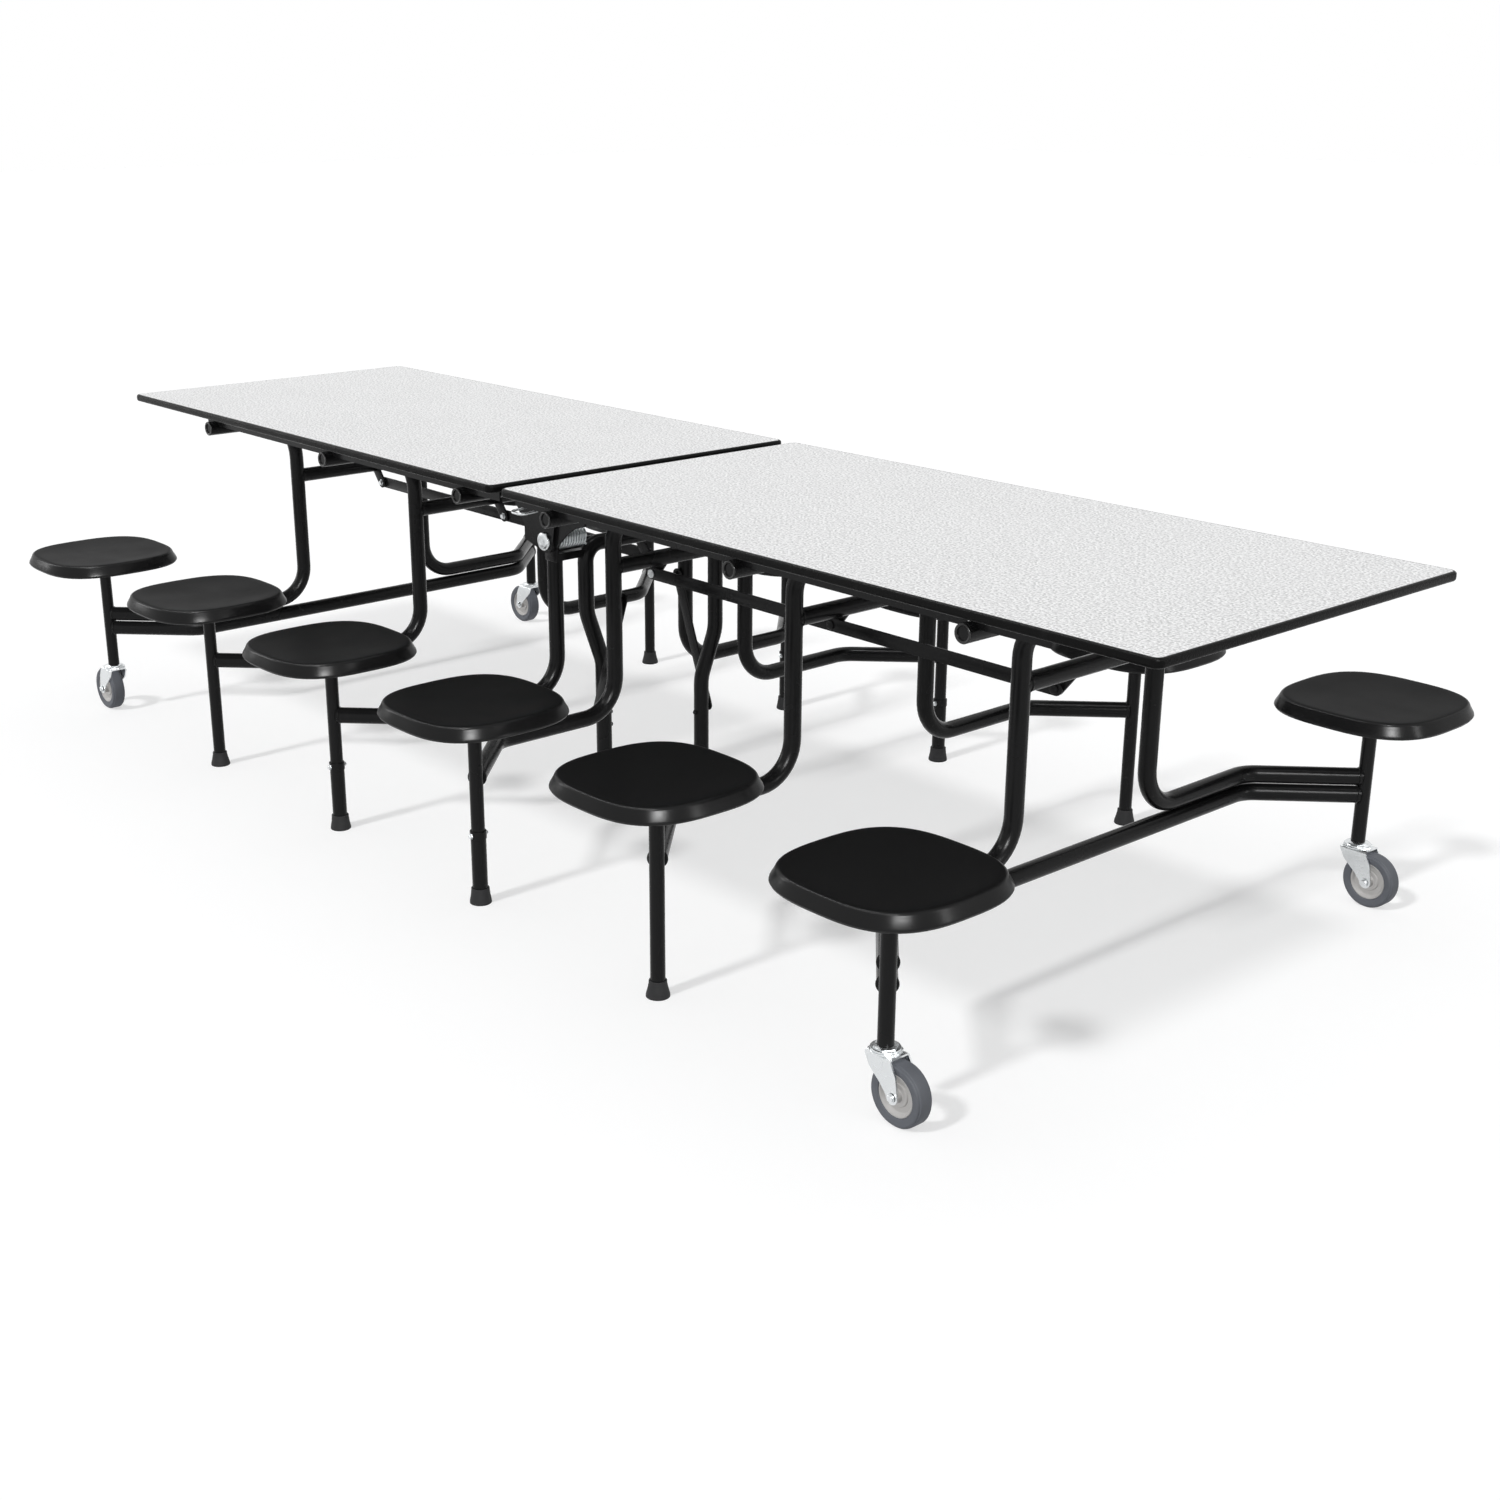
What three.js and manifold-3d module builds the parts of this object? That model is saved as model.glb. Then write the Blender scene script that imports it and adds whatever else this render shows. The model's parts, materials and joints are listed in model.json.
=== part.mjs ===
import * as THREE from 'three';
import { mergeVertices } from 'three/addons/utils/BufferGeometryUtils.js';
import Module from 'manifold-3d';

const wasm = await Module();
wasm.setup();
const { Manifold, Mesh } = wasm;

// Sizes in millimetres. X runs along the table, -Y is the near long side, Z is up,
// and the origin is on the floor under the middle of the table.

// Table tops
const overallLength = 3073;
const topWidth = 762;
const topHeight = 704;
const topThick = 16;
const topGap = 30;
const bandWidth = 6;
const bandRound = 5;
const cornerRadius = 16;

// Fits
const seatGap = 0.3;
const runGap = 0.35;

// Leg frames: pivot tubes from the middle outwards, and what hangs on them
const endOverhang = 357.5;
const framePitch = 519;
const pivotInner = 146;
const pivotEnd = overallLength / 2 - endOverhang;
const pivotX = [pivotInner, pivotEnd - framePitch, pivotEnd];
const pivotDrop = 41;
const pivotZ = topHeight - pivotDrop;
const pivotInset = 13.5;
const pivotReach = topWidth / 2 - pivotInset;
const pivotR = 16;
const plugR = 12.5;
const plugDepth = 5;
const legR = 16;
const legIn = 50;
const legY = 172;
const kneeDrop = 60;
const kneeZ = pivotZ - kneeDrop;
const kneeRadius = 70;
const armZ = 240;
const footRadius = 75;
const joggleY = 459;
const joggleRadius = 60;
const lowerZ = 206;
const crossDrop = 169;
const crossZ = topHeight - crossDrop;
const crossR = 16;
const postOut = 103;
const postY = 612;
const postR = 12.7;
const armStop = 7;
const sleeveR = 14.3;
const sleeveTop = 142;

// Stools
const seatTop = 391;
const seatDish = 3;
const seatHalf = 154.5;
const seatPower = 2.9;
const seatThick = 27;
const seatRim = 9;
const seatPlateR = 55;
const seatPlateThick = 4;

// Rubber boots under the posts
const bootBottomR = 20.5;
const bootWall = 2.6;
const bootHeight = 30;
const bootSole = 6;

// Casters under the four corner posts
const wheelR = 50;
const wheelWidth = 30;
const wheelTrail = 34;
const tyreDepth = 16;
const hubBossR = 12;
const axleR = 5;
const forkInside = 38;
const forkThick = 3;
const forkTop = 116;
const raceR = 26;
const raceThick = 8;
const crownThick = 4;
const crownHalf = 22;
const axleHeadR = 8;
const axleHeadThick = 4;

// Chassis under each top
const railY = 330;
const railWidth = 40;
const railThick = 5;
const railStart = 26;
const railInset = 206.5;
const railEnd = overallLength / 2 - railInset;
const lipThick = 3;
const lipDepth = 19.2;
const tieWidth = 46;
const shortRailPast = 36;
const shortRailEnd = pivotEnd + shortRailPast;
const hangerY = 225;
const hangerThick = 6;
const hangerRim = 8;

// Middle hinge
const hingeDrop = 121;
const hingeZ = topHeight - hingeDrop;
const hingeBossR = 24;
const hingePlateThick = 5;
const leftPlateY = 261.5;
const rightPlateY = 254.5;
const hingePinR = 8;
const hingePinEnd = 168;
const hingeHeadR = 18;
const hingeHeadThick = 8;
const hingeBaseIn = 245;

// Outlines of the hinge plates, out from the pin and up from it
const plateRoot = 18;
const leftRootHigh = 88;
const leftNose = 34;
const leftNoseHigh = 82;
const leftNoseLow = 52;
const leftToe = 68;
const leftToeLow = 6;
const leftToeHigh = 22;
const leftHeel = 92;
const leftHeelHigh = 56;
const leftBack = 108;
const leftBackHigh = 71;
const rightRootHigh = 66;
const rightNose = 17;
const rightToe = 62;
const rightToeHigh = 23;
const rightHeel = 82;
const rightHeelHigh = 35;
const rightBack = 118;
const rightBackHigh = 46;

// Lift springs on the hinge pins
const springWire = 4.5;
const springMean = 38;
const springPitch = 6.5;
const springTurns = 10;
const springStart = 175;
const springTail = 4;
const springLead = 0.4;
const springRise = 3;

// Middle legs: one bent tube hung on the hinge pins
const middleX = 4;
const middleR = 15.9;
const middleTopY = 170;
const middleFootY = 131;
const middleTopDrop = 20;
const middleTopZ = hingeZ - middleTopDrop;
const middleCorner = 36;
const swanHighNear = 425;
const swanLowNear = 315;
const swanHighFar = 330;
const swanLowFar = 230;
const swanRadius = 80;
const earHalf = 24;
const earFoot = 19;
const earThick = 5;
const earDrop = 42;
const earLow = hingeZ - earDrop;
const stubHeight = 15;
const stubWidth = 16;
const footBoltR = 4.5;
const footBoltOut = 6;

// Link bars that keep the leg frames parallel
const linkY = 48;
const linkDrop = 39;
const linkZ = crossZ - linkDrop;
const linkIn = 32;
const linkHeight = 25;
const linkThick = 5;
const linkEnd = 15;
const linkPinR = 6;
const linkHeadR = 9;
const linkHeadThick = 3;
const lugThick = 5;
const lugR = 13;

// Brace bars from one leg of each inner frame to the middle legs
const braceDropNear = 238;
const braceDropFar = 271;
const braceFootNear = 208;
const braceFootFar = 165;
const braceTopZ = { n: topHeight - braceDropNear, f: topHeight - braceDropFar };
const braceFootZ = { n: braceFootNear, f: braceFootFar };
const braceWidth = 25;
const braceThick = 4;
const braceY = 149.5;
const bracePinR = 5;
const braceHeadR = 8;
const braceHeadThick = 3;
const braceBoltR = 7;
const braceBoltThick = 5;

// Latch release bail on the near hinge plate
const bailWireR = 2.5;
const bailBelow = 49;
const bailZ = topHeight - bailBelow;
const bailY = 274;
const bailReach = 68;
const bailDrop = 4;
const bailLeft = -6;
const bailRight = 34;
const bailLugIn = 6;
const bailLugThick = 4;
const bailLugR = 6;

// Facets
const tubeSides = 8;
const pivotSides = 10;
const postSides = 8;
const seatSides = 20;
const wheelSides = 14;
const bootSides = 8;

// Materials
const paint = (name, color, roughness, metalness) =>
  new THREE.MeshStandardMaterial({ name, color, roughness, metalness });
const materials = {
  laminate: ['white_laminate', 0xe9e9e7, 0.5, 0],
  band: ['black_edge', 0x141414, 0.45, 0],
  steel: ['black_powder_coat', 0x121212, 0.4, 0],
  seat: ['black_seat_plastic', 0x0e0e0e, 0.35, 0],
  boot: ['black_rubber', 0x161616, 0.8, 0],
  zinc: ['zinc_plate', 0xc9ced2, 0.3, 1],
  tyre: ['grey_tyre', 0x6d7178, 0.7, 0],
  hub: ['grey_hub', 0xbdb9b6, 0.5, 0],
};

const group = new THREE.Group();
group.name = 'folding_stool_table';

// A closed solid from any three.js geometry, facing outwards.
function solid(geometry) {
  const bare = geometry.clone();
  bare.deleteAttribute('normal');
  bare.deleteAttribute('uv');
  const welded = mergeVertices(bare, 1e-3);
  const p = welded.attributes.position.array;
  const source = welded.index.array;
  const triVerts = [];
  let volume = 0;
  const a = new THREE.Vector3();
  const b = new THREE.Vector3();
  const c = new THREE.Vector3();
  for (let i = 0; i < source.length; i += 3) {
    const [i0, i1, i2] = [source[i], source[i + 1], source[i + 2]];
    if (i0 === i1 || i1 === i2 || i2 === i0) continue;
    triVerts.push(i0, i1, i2);
    a.fromArray(p, 3 * i0);
    b.fromArray(p, 3 * i1);
    c.fromArray(p, 3 * i2);
    volume += a.dot(b.cross(c));
  }
  if (volume < 0) triVerts.reverse();
  return new Manifold(new Mesh({
    numProp: 3,
    vertProperties: new Float32Array(p),
    triVerts: new Uint32Array(triVerts),
  }));
}

function join(parts) {
  return parts.reduce((sum, part) => sum.add(part));
}

// One named mesh from a solid, turned by half a turn about Z for the left half.
function place(name, body, material, half = 1) {
  const mesh = body.getMesh();
  const geometry = new THREE.BufferGeometry();
  geometry.setAttribute('position', new THREE.BufferAttribute(new Float32Array(mesh.vertProperties), 3));
  geometry.setIndex(new THREE.BufferAttribute(new Uint32Array(mesh.triVerts), 1));
  if (half < 0) geometry.rotateZ(Math.PI);
  const node = new THREE.Mesh(geometry.toNonIndexed(), paint(...materials[material]));
  node.geometry.computeVertexNormals();
  node.name = name;
  group.add(node);
}

// A path through chosen points, so that each ring of a tube sits exactly on one of them.
class Route extends THREE.Curve {
  constructor(points) {
    super();
    this.points = points;
  }

  getPoint(t) {
    const at = Math.min(Math.max(t, 0), 1) * (this.points.length - 1);
    const i = Math.min(Math.floor(at), this.points.length - 2);
    return this.points[i].clone().lerp(this.points[i + 1], at - i);
  }

  getPointAt(u) {
    return this.getPoint(u);
  }

  getSpacedPoints() {
    return this.points.map((point) => point.clone());
  }

  getTangentAt(u) {
    const last = this.points.length - 1;
    const i = Math.round(u * last);
    const before = this.points[i].clone().sub(this.points[Math.max(i - 1, 0)]).normalize();
    const after = this.points[Math.min(i + 1, last)].clone().sub(this.points[i]).normalize();
    return before.add(after).normalize();
  }
}

// Corner points with bend radii become straight runs and arcs of about 24 degrees a step.
function bends(corners) {
  const at = corners.map(([x, y, z]) => new THREE.Vector3(x, y, z));
  const points = [at[0]];
  for (let i = 1; i < at.length - 1; i += 1) {
    const back = at[i - 1].clone().sub(at[i]).normalize();
    const on = at[i + 1].clone().sub(at[i]).normalize();
    const turn = Math.PI - back.angleTo(on);
    const radius = corners[i][3];
    const middle = back.clone().add(on).normalize();
    const centre = at[i].clone().addScaledVector(middle, radius / Math.cos(turn / 2));
    const steps = Math.max(2, Math.round(turn / 0.42));
    const from = at[i].clone().addScaledVector(back, radius * Math.tan(turn / 2)).sub(centre);
    const axis = back.clone().cross(on).normalize();
    for (let k = 0; k <= steps; k += 1) {
      points.push(from.clone().applyAxisAngle(axis, -turn * (k / steps)).add(centre));
    }
  }
  points.push(at[at.length - 1]);
  return points;
}

function polygon(radius, sides, turn) {
  const points = [];
  for (let k = 0; k < sides; k += 1) {
    const angle = ((k + turn) / sides) * 2 * Math.PI;
    points.push(new THREE.Vector2(radius * Math.cos(angle), radius * Math.sin(angle)));
  }
  return points;
}

function tube(points, radius, sides, turn = 0.5) {
  const path = new Route(points);
  const shape = new THREE.Shape(polygon(radius, sides, turn));
  return solid(new THREE.ExtrudeGeometry(shape, { steps: points.length - 1, extrudePath: path }));
}

function rod(from, to, radius, sides) {
  return tube([new THREE.Vector3(...from), new THREE.Vector3(...to)], radius, sides);
}

// A round hole that stays clear of a turning shaft of this radius.
function holeR(shaftR, clearance, sides) {
  return (shaftR + clearance) / Math.cos(Math.PI / sides);
}

// The cutter of such a hole, its flats at the corners of the shaft so that the shaft sits close.
function bore(from, to, shaftR, sides) {
  const ends = [from, to].map((end) => new THREE.Vector3(...end));
  return tube(ends, holeR(shaftR, runGap, sides), sides, 0);
}

function box(x0, x1, y0, y1, z0, z1) {
  const geometry = new THREE.BoxGeometry(x1 - x0, y1 - y0, z1 - z0);
  return solid(geometry.translate((x0 + x1) / 2, (y0 + y1) / 2, (z0 + z1) / 2));
}

// A plate standing in the XZ plane, from an outline of [x, z] corners.
function upright(outline, y0, y1) {
  const shape = new THREE.Shape(outline.map(([x, z]) => new THREE.Vector2(x, z)));
  const geometry = new THREE.ExtrudeGeometry(shape, { depth: y1 - y0, bevelEnabled: false });
  return solid(geometry.rotateX(Math.PI / 2).translate(0, y1, 0));
}

function turned(profile, sides) {
  const points = profile.map(([r, z]) => new THREE.Vector2(r, z));
  return new THREE.LatheGeometry(points, sides).rotateX(Math.PI / 2);
}

function arc(x, z, radius, from, to, steps) {
  const points = [];
  for (let k = 0; k <= steps; k += 1) {
    const angle = THREE.MathUtils.degToRad(from + ((to - from) * k) / steps);
    points.push([x + radius * Math.cos(angle), z + radius * Math.sin(angle)]);
  }
  return points;
}

// A bar with round ends between two points of the XZ plane.
function strap(x0, z0, x1, z1, width, y0, y1) {
  const lean = THREE.MathUtils.radToDeg(Math.atan2(z1 - z0, x1 - x0));
  const outline = [
    ...arc(x1, z1, width / 2, lean - 90, lean + 90, 4),
    ...arc(x0, z0, width / 2, lean + 90, lean + 270, 4),
  ];
  return upright(outline, y0, y1);
}

const sides = [['n', -1], ['f', 1]];
const frames = [['inner', 0], ['mid', 1], ['end', 2]];
const halves = [['l', -1], ['r', 1]];

// Table tops: a laminate board in a black edge band
function roundedRect(x0, x1, half, radius) {
  const shape = new THREE.Shape();
  const corners = [[x1, -half, -90], [x1, half, 0], [x0, half, 90], [x0, -half, 180]];
  const points = [];
  for (const [x, y, start] of corners) {
    const cx = x - Math.sign(x - (x0 + x1) / 2) * radius;
    const cy = y - Math.sign(y) * radius;
    points.push(...arc(cx, cy, radius, start, start + 90, 3));
  }
  shape.setFromPoints(points.map(([x, y]) => new THREE.Vector2(x, y)));
  return shape;
}

const underZ = topHeight - topThick;
for (const [half, sign] of halves) {
  const x0 = topGap / 2;
  const x1 = overallLength / 2;
  const inner = roundedRect(
    x0 + bandWidth, x1 - bandWidth, topWidth / 2 - bandWidth, cornerRadius - bandWidth,
  );
  const board = new THREE.ExtrudeGeometry(inner, { depth: topThick, bevelEnabled: false });
  place(half === 'l' ? 'top_left' : 'top_right', solid(board.translate(0, 0, underZ)), 'laminate', sign);

  const grown = bandWidth - seatGap;
  const pocket = roundedRect(x0 + grown, x1 - grown, topWidth / 2 - grown, cornerRadius - grown);
  const core = roundedRect(
    x0 + bandRound, x1 - bandRound, topWidth / 2 - bandRound, cornerRadius - bandRound,
  );
  const slab = new THREE.ExtrudeGeometry(core, {
    depth: topThick - 2 * bandRound,
    bevelThickness: bandRound,
    bevelSize: bandRound,
    bevelSegments: 2,
  });
  const hollow = new THREE.ExtrudeGeometry(pocket, { depth: topThick + 2, bevelEnabled: false });
  const band = solid(slab.translate(0, 0, underZ + bandRound))
    .subtract(solid(hollow.translate(0, 0, underZ - 1)));
  place(half === 'l' ? 'band_left' : 'band_right', band, 'band', sign);
}

// Leg frames: pivot tube, two bent legs, cross tube, stool posts and the link lug, welded
const plateZ = seatTop - seatThick + seatRim;
function legFrame(pivot, row, studZ) {
  const legX = pivot - legIn;
  const postX = pivot + postOut;
  const pivotTube = rod([pivot, -pivotReach, pivotZ], [pivot, pivotReach, pivotZ], pivotR, pivotSides);
  const parts = [];
  for (const [, y] of sides) {
    const reach = new THREE.Vector2(postX - legX, postY - joggleY);
    const stop = 1 - armStop / reach.length();
    const armEnd = [legX + reach.x * stop, y * (joggleY + reach.y * stop)];
    parts.push(tube(bends([
      [pivot, y * legY, pivotZ],
      [legX, y * legY, kneeZ, kneeRadius],
      [legX, y * legY, armZ, footRadius],
      [legX, y * joggleY, armZ, joggleRadius],
      [armEnd[0], armEnd[1], armZ],
    ]), legR, tubeSides));
    let postLow = bootSole + seatGap;
    if (row === 'end') {
      postLow = forkTop + seatGap;
      parts.push(tube(bends([
        [legX, 0, lowerZ],
        [legX, y * joggleY, lowerZ, joggleRadius],
        [armEnd[0], armEnd[1], lowerZ],
      ]), legR, tubeSides));
    }
    if (row === 'inner') {
      parts.push(rod([postX, y * postY, postLow], [postX, y * postY, sleeveTop], sleeveR, postSides));
      postLow = sleeveTop - 1;
    }
    parts.push(rod([postX, y * postY, postLow], [postX, y * postY, plateZ], postR, postSides));
    const plateLow = [postX, y * postY, plateZ - seatPlateThick];
    parts.push(rod(plateLow, [postX, y * postY, plateZ], seatPlateR, postSides));
  }
  parts.push(rod([legX, -legY, crossZ], [legX, legY, crossZ], crossR, tubeSides));

  const lugX = legX - linkIn;
  const lugY0 = -linkY + linkThick / 2 + 1;
  const lug = strap(legX, crossZ, lugX, linkZ, 2 * lugR, lugY0, lugY0 + lugThick);
  const headY = -linkY - linkThick / 2 - 1;
  const pin = rod([lugX, lugY0 + 1, linkZ], [lugX, headY - 1, linkZ], linkPinR, tubeSides);
  const head = rod([lugX, headY, linkZ], [lugX, headY - linkHeadThick, linkZ], linkHeadR, tubeSides);
  parts.push(lug, pin, head);

  if (row === 'inner') {
    const at = (depth) => [legX, -depth, studZ];
    const studEnd = braceY - braceThick / 2 - 1;
    parts.push(rod(at(legY), at(studEnd - 1), bracePinR, tubeSides));
    parts.push(rod(at(studEnd), at(studEnd - braceHeadThick), braceHeadR, tubeSides));
  }

  let body = join([pivotTube, ...parts]);
  for (const [, y] of sides) {
    const mouth = [pivot, y * (pivotReach + 1), pivotZ];
    body = body.subtract(rod([pivot, y * (pivotReach - plugDepth), pivotZ], mouth, plugR, pivotSides));
  }
  return body;
}

for (const [half, sign] of halves) {
  for (const [row, i] of frames) {
    const studZ = sign > 0 ? braceTopZ.n : braceTopZ.f;
    place(`frame_${half}_${row}`, legFrame(pivotX[i], row, studZ), 'steel', sign);
  }
}

// Stools: a dished rounded square with a flared rim, on every post
const seatProfile = [
  [0, seatTop - seatThick + seatRim + seatGap],
  [seatHalf - 16, seatTop - seatThick + seatRim + seatGap],
  [seatHalf - 8, seatTop - seatThick],
  [seatHalf, seatTop - seatThick + 5],
  [seatHalf - 7, seatTop - 7],
  [seatHalf - 17, seatTop],
  [0, seatTop - seatDish],
];
const seatForm = turned(seatProfile, seatSides);
const corner = seatForm.attributes.position;
for (let i = 0; i < corner.count; i += 1) {
  const angle = Math.atan2(corner.getY(i), corner.getX(i));
  const square = Math.abs(Math.cos(angle)) ** seatPower + Math.abs(Math.sin(angle)) ** seatPower;
  const grow = square ** (-1 / seatPower);
  corner.setXY(i, corner.getX(i) * grow, corner.getY(i) * grow);
}
const seatSolid = solid(seatForm);

// Boots: a rubber cup on each sleeve, plain post and middle leg
function boot(tubeR) {
  const inside = holeR(tubeR, seatGap, bootSides);
  return solid(turned([
    [0, 0],
    [bootBottomR, 0],
    [bootBottomR, 4],
    [tubeR + bootWall, bootHeight],
    [inside, bootHeight],
    [inside, bootSole],
    [0, bootSole],
  ], bootSides));
}
const postBoots = { inner: boot(sleeveR), mid: boot(postR) };

// Casters: a zinc fork that swivels under the post, and a tyre on a hub
const tyreBoreR = wheelR - tyreDepth;
const halfWheel = wheelWidth / 2;
const tyreForm = turned([
  [tyreBoreR, -halfWheel + 2],
  [wheelR - 6, -halfWheel],
  [wheelR - 1.5, -halfWheel + 4],
  [wheelR, -5],
  [wheelR, 5],
  [wheelR - 1.5, halfWheel - 4],
  [wheelR - 6, halfWheel],
  [tyreBoreR, halfWheel - 2],
  [tyreBoreR, -halfWheel + 2],
], wheelSides);
const hubRimR = tyreBoreR - seatGap;
const hubBore = holeR(axleR, runGap, wheelSides);
const hubForm = turned([
  [hubBore, -halfWheel - 2],
  [hubBossR, -halfWheel - 2],
  [hubBossR + 1, -6],
  [hubRimR - 4, -6],
  [hubRimR, -halfWheel + 2],
  [hubRimR, halfWheel - 2],
  [hubRimR - 4, 6],
  [hubBossR + 1, 6],
  [hubBossR, halfWheel + 2],
  [hubBore, halfWheel + 2],
  [hubBore, -halfWheel - 2],
], wheelSides);
const onAxle = (form) => solid(form.clone().rotateX(Math.PI / 2).translate(wheelTrail, 0, wheelR));

const crownTop = forkTop - raceThick;
const forkOuter = forkInside / 2 + forkThick;
const cheek = [
  [-crownHalf, crownTop],
  ...arc(wheelTrail, wheelR, 11, 200, 380, 4),
  [wheelTrail + 4, crownTop - 16],
  [crownHalf + 8, crownTop],
];
const forkParts = [
  rod([0, 0, crownTop - 1], [0, 0, forkTop], raceR, pivotSides),
  box(-crownHalf, crownHalf + 8, -forkOuter, forkOuter, crownTop - crownThick, crownTop),
  rod([wheelTrail, -forkOuter, wheelR], [wheelTrail, forkOuter, wheelR], axleR, tubeSides),
];
for (const [, y] of sides) {
  const [y0, y1] = y > 0 ? [forkInside / 2, forkOuter] : [-forkOuter, -forkInside / 2];
  forkParts.push(upright(cheek, y0, y1));
  const headFrom = [wheelTrail, y * (forkOuter - 1), wheelR];
  forkParts.push(rod(headFrom, [wheelTrail, y * (forkOuter + axleHeadThick), wheelR], axleHeadR, 6));
}
const forkSolid = join(forkParts);
const tyreSolid = onAxle(tyreForm);
const hubSolid = onAxle(hubForm);

for (const [half, sign] of halves) {
  for (const [row, i] of frames) {
    for (const [side, y] of sides) {
      const at = [pivotX[i] + postOut, sign * y * postY, 0];
      const name = `${half}_${row}_${side}`;
      place(`seat_${name}`, seatSolid.translate(at), 'seat', sign);
      if (row === 'end') {
        place(`fork_${half}_${side}`, forkSolid.translate(at), 'zinc', sign);
        place(`tyre_${half}_${side}`, tyreSolid.translate(at), 'tyre', sign);
        place(`hub_${half}_${side}`, hubSolid.translate(at), 'hub', sign);
      } else {
        place(`boot_${name}`, postBoots[row].translate(at), 'boot', sign);
      }
    }
  }
}

// Chassis: rails with lips, ties over the pivot tubes with hangers, and hinge plates
const chassisTop = underZ - seatGap;
const tieLow = chassisTop - railThick;
const hangerLow = pivotZ - holeR(pivotR, runGap, pivotSides) - hangerRim;

const leftPlate = [
  [plateRoot, chassisTop],
  [plateRoot, hingeZ + leftRootHigh],
  [-leftNose, hingeZ + leftNoseHigh],
  [-leftNose, hingeZ + leftNoseLow],
  ...arc(0, hingeZ, hingeBossR, 180, 285, 5),
  [leftToe, hingeZ - leftToeLow],
  [leftToe, hingeZ + leftToeHigh],
  [leftHeel, hingeZ + leftHeelHigh],
  [leftBack, hingeZ + leftBackHigh],
  [leftBack, chassisTop],
];
const rightPlate = [
  [plateRoot, chassisTop],
  [plateRoot, hingeZ + rightRootHigh],
  [-rightNose, hingeZ + rightNose],
  ...arc(0, hingeZ, hingeBossR, 160, 310, 6),
  [rightToe, hingeZ + rightToeHigh],
  [rightHeel, hingeZ + rightHeelHigh],
  [rightBack, hingeZ + rightBackHigh],
  [rightBack, chassisTop],
];

// The flat ladder of a long and a short rail and three ties, open at both ends
function ladder() {
  const railIn = railY - railWidth / 2;
  const railOut = railY + railWidth / 2;
  const half = tieWidth / 2;
  const windows = pivotX.map((x, k) => [x + half, (pivotX[k + 1] ?? railEnd + tieWidth) - half, railIn]);
  windows.push([railStart - 1, pivotX[0] - half, hingeBaseIn]);
  const sheet = box(railStart, railEnd, -railOut, railOut, tieLow, chassisTop);
  const cuts = windows.map(([x0, x1, y]) => box(x0, x1, -y, y, tieLow - 1, chassisTop + 1));
  cuts.push(box(shortRailEnd, railEnd + 1, 0, railOut + 1, tieLow - 1, chassisTop + 1));
  return sheet.subtract(join(cuts));
}

function chassis(plate, plateY) {
  const parts = [ladder()];
  for (const [, y] of sides) {
    const span = (a, b) => (y > 0 ? [a, b] : [-b, -a]);
    const railOut = railY + railWidth / 2;
    const lip = span(railOut - lipThick, railOut);
    const lipEnd = y > 0 ? shortRailEnd : railEnd;
    parts.push(box(railStart, lipEnd, ...lip, chassisTop - lipDepth, chassisTop));
    parts.push(upright(plate, ...span(plateY - hingePlateThick / 2, plateY + hingePlateThick / 2)));
    for (const x of pivotX) {
      const outline = [
        ...arc(x, pivotZ, pivotZ - hangerLow, 180, 360, 6),
        [x + pivotZ - hangerLow, tieLow + 1],
        [x - pivotZ + hangerLow, tieLow + 1],
      ];
      parts.push(upright(outline, ...span(hangerY - hangerThick / 2, hangerY + hangerThick / 2)));
    }
  }
  const reach = pivotReach;
  const holes = pivotX.map((x) => bore([x, -reach, pivotZ], [x, reach, pivotZ], pivotR, pivotSides));
  holes.push(bore([0, -reach, hingeZ], [0, reach, hingeZ], hingePinR, pivotSides));
  return join(parts).subtract(join(holes));
}

const lugInner = bailLugThick / 2;
const bailLugX = [bailLeft + bailLugIn, bailRight - bailLugIn];
const plateFace = leftPlateY + hingePlateThick / 2;
const lugHole = bore([bailLeft - 10, -bailY, bailZ], [bailRight + 10, -bailY, bailZ], bailWireR, tubeSides);
let leftChassis = chassis(leftPlate, leftPlateY);
for (const x of bailLugX) {
  const [low, high] = [bailZ - bailLugR, bailZ + bailLugR];
  const lug = box(-x - lugInner, -x + lugInner, plateFace - 1, bailY + bailLugR, low, high);
  leftChassis = leftChassis.add(lug);
}
const halfTurn = new THREE.Matrix4().makeRotationZ(Math.PI);
leftChassis = leftChassis.subtract(lugHole.transform(halfTurn.elements));
place('chassis_left', leftChassis, 'steel', -1);
place('chassis_right', chassis(rightPlate, rightPlateY), 'steel', 1);

// Latch bail: a bent wire hooked into the two lugs of the near hinge plate
const bailEnd = [-(bailY + bailReach), bailZ - bailDrop];
const hookIn = bailLugIn + lugInner + 3;
const bail = tube(bends([
  [bailLeft + hookIn, -bailY, bailZ],
  [bailLeft, -bailY, bailZ, 5],
  [bailLeft, ...bailEnd, 14],
  [bailRight, ...bailEnd, 14],
  [bailRight, -bailY, bailZ, 5],
  [bailRight - hookIn, -bailY, bailZ],
]), bailWireR, 5);
place('bail', bail, 'zinc');

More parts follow.
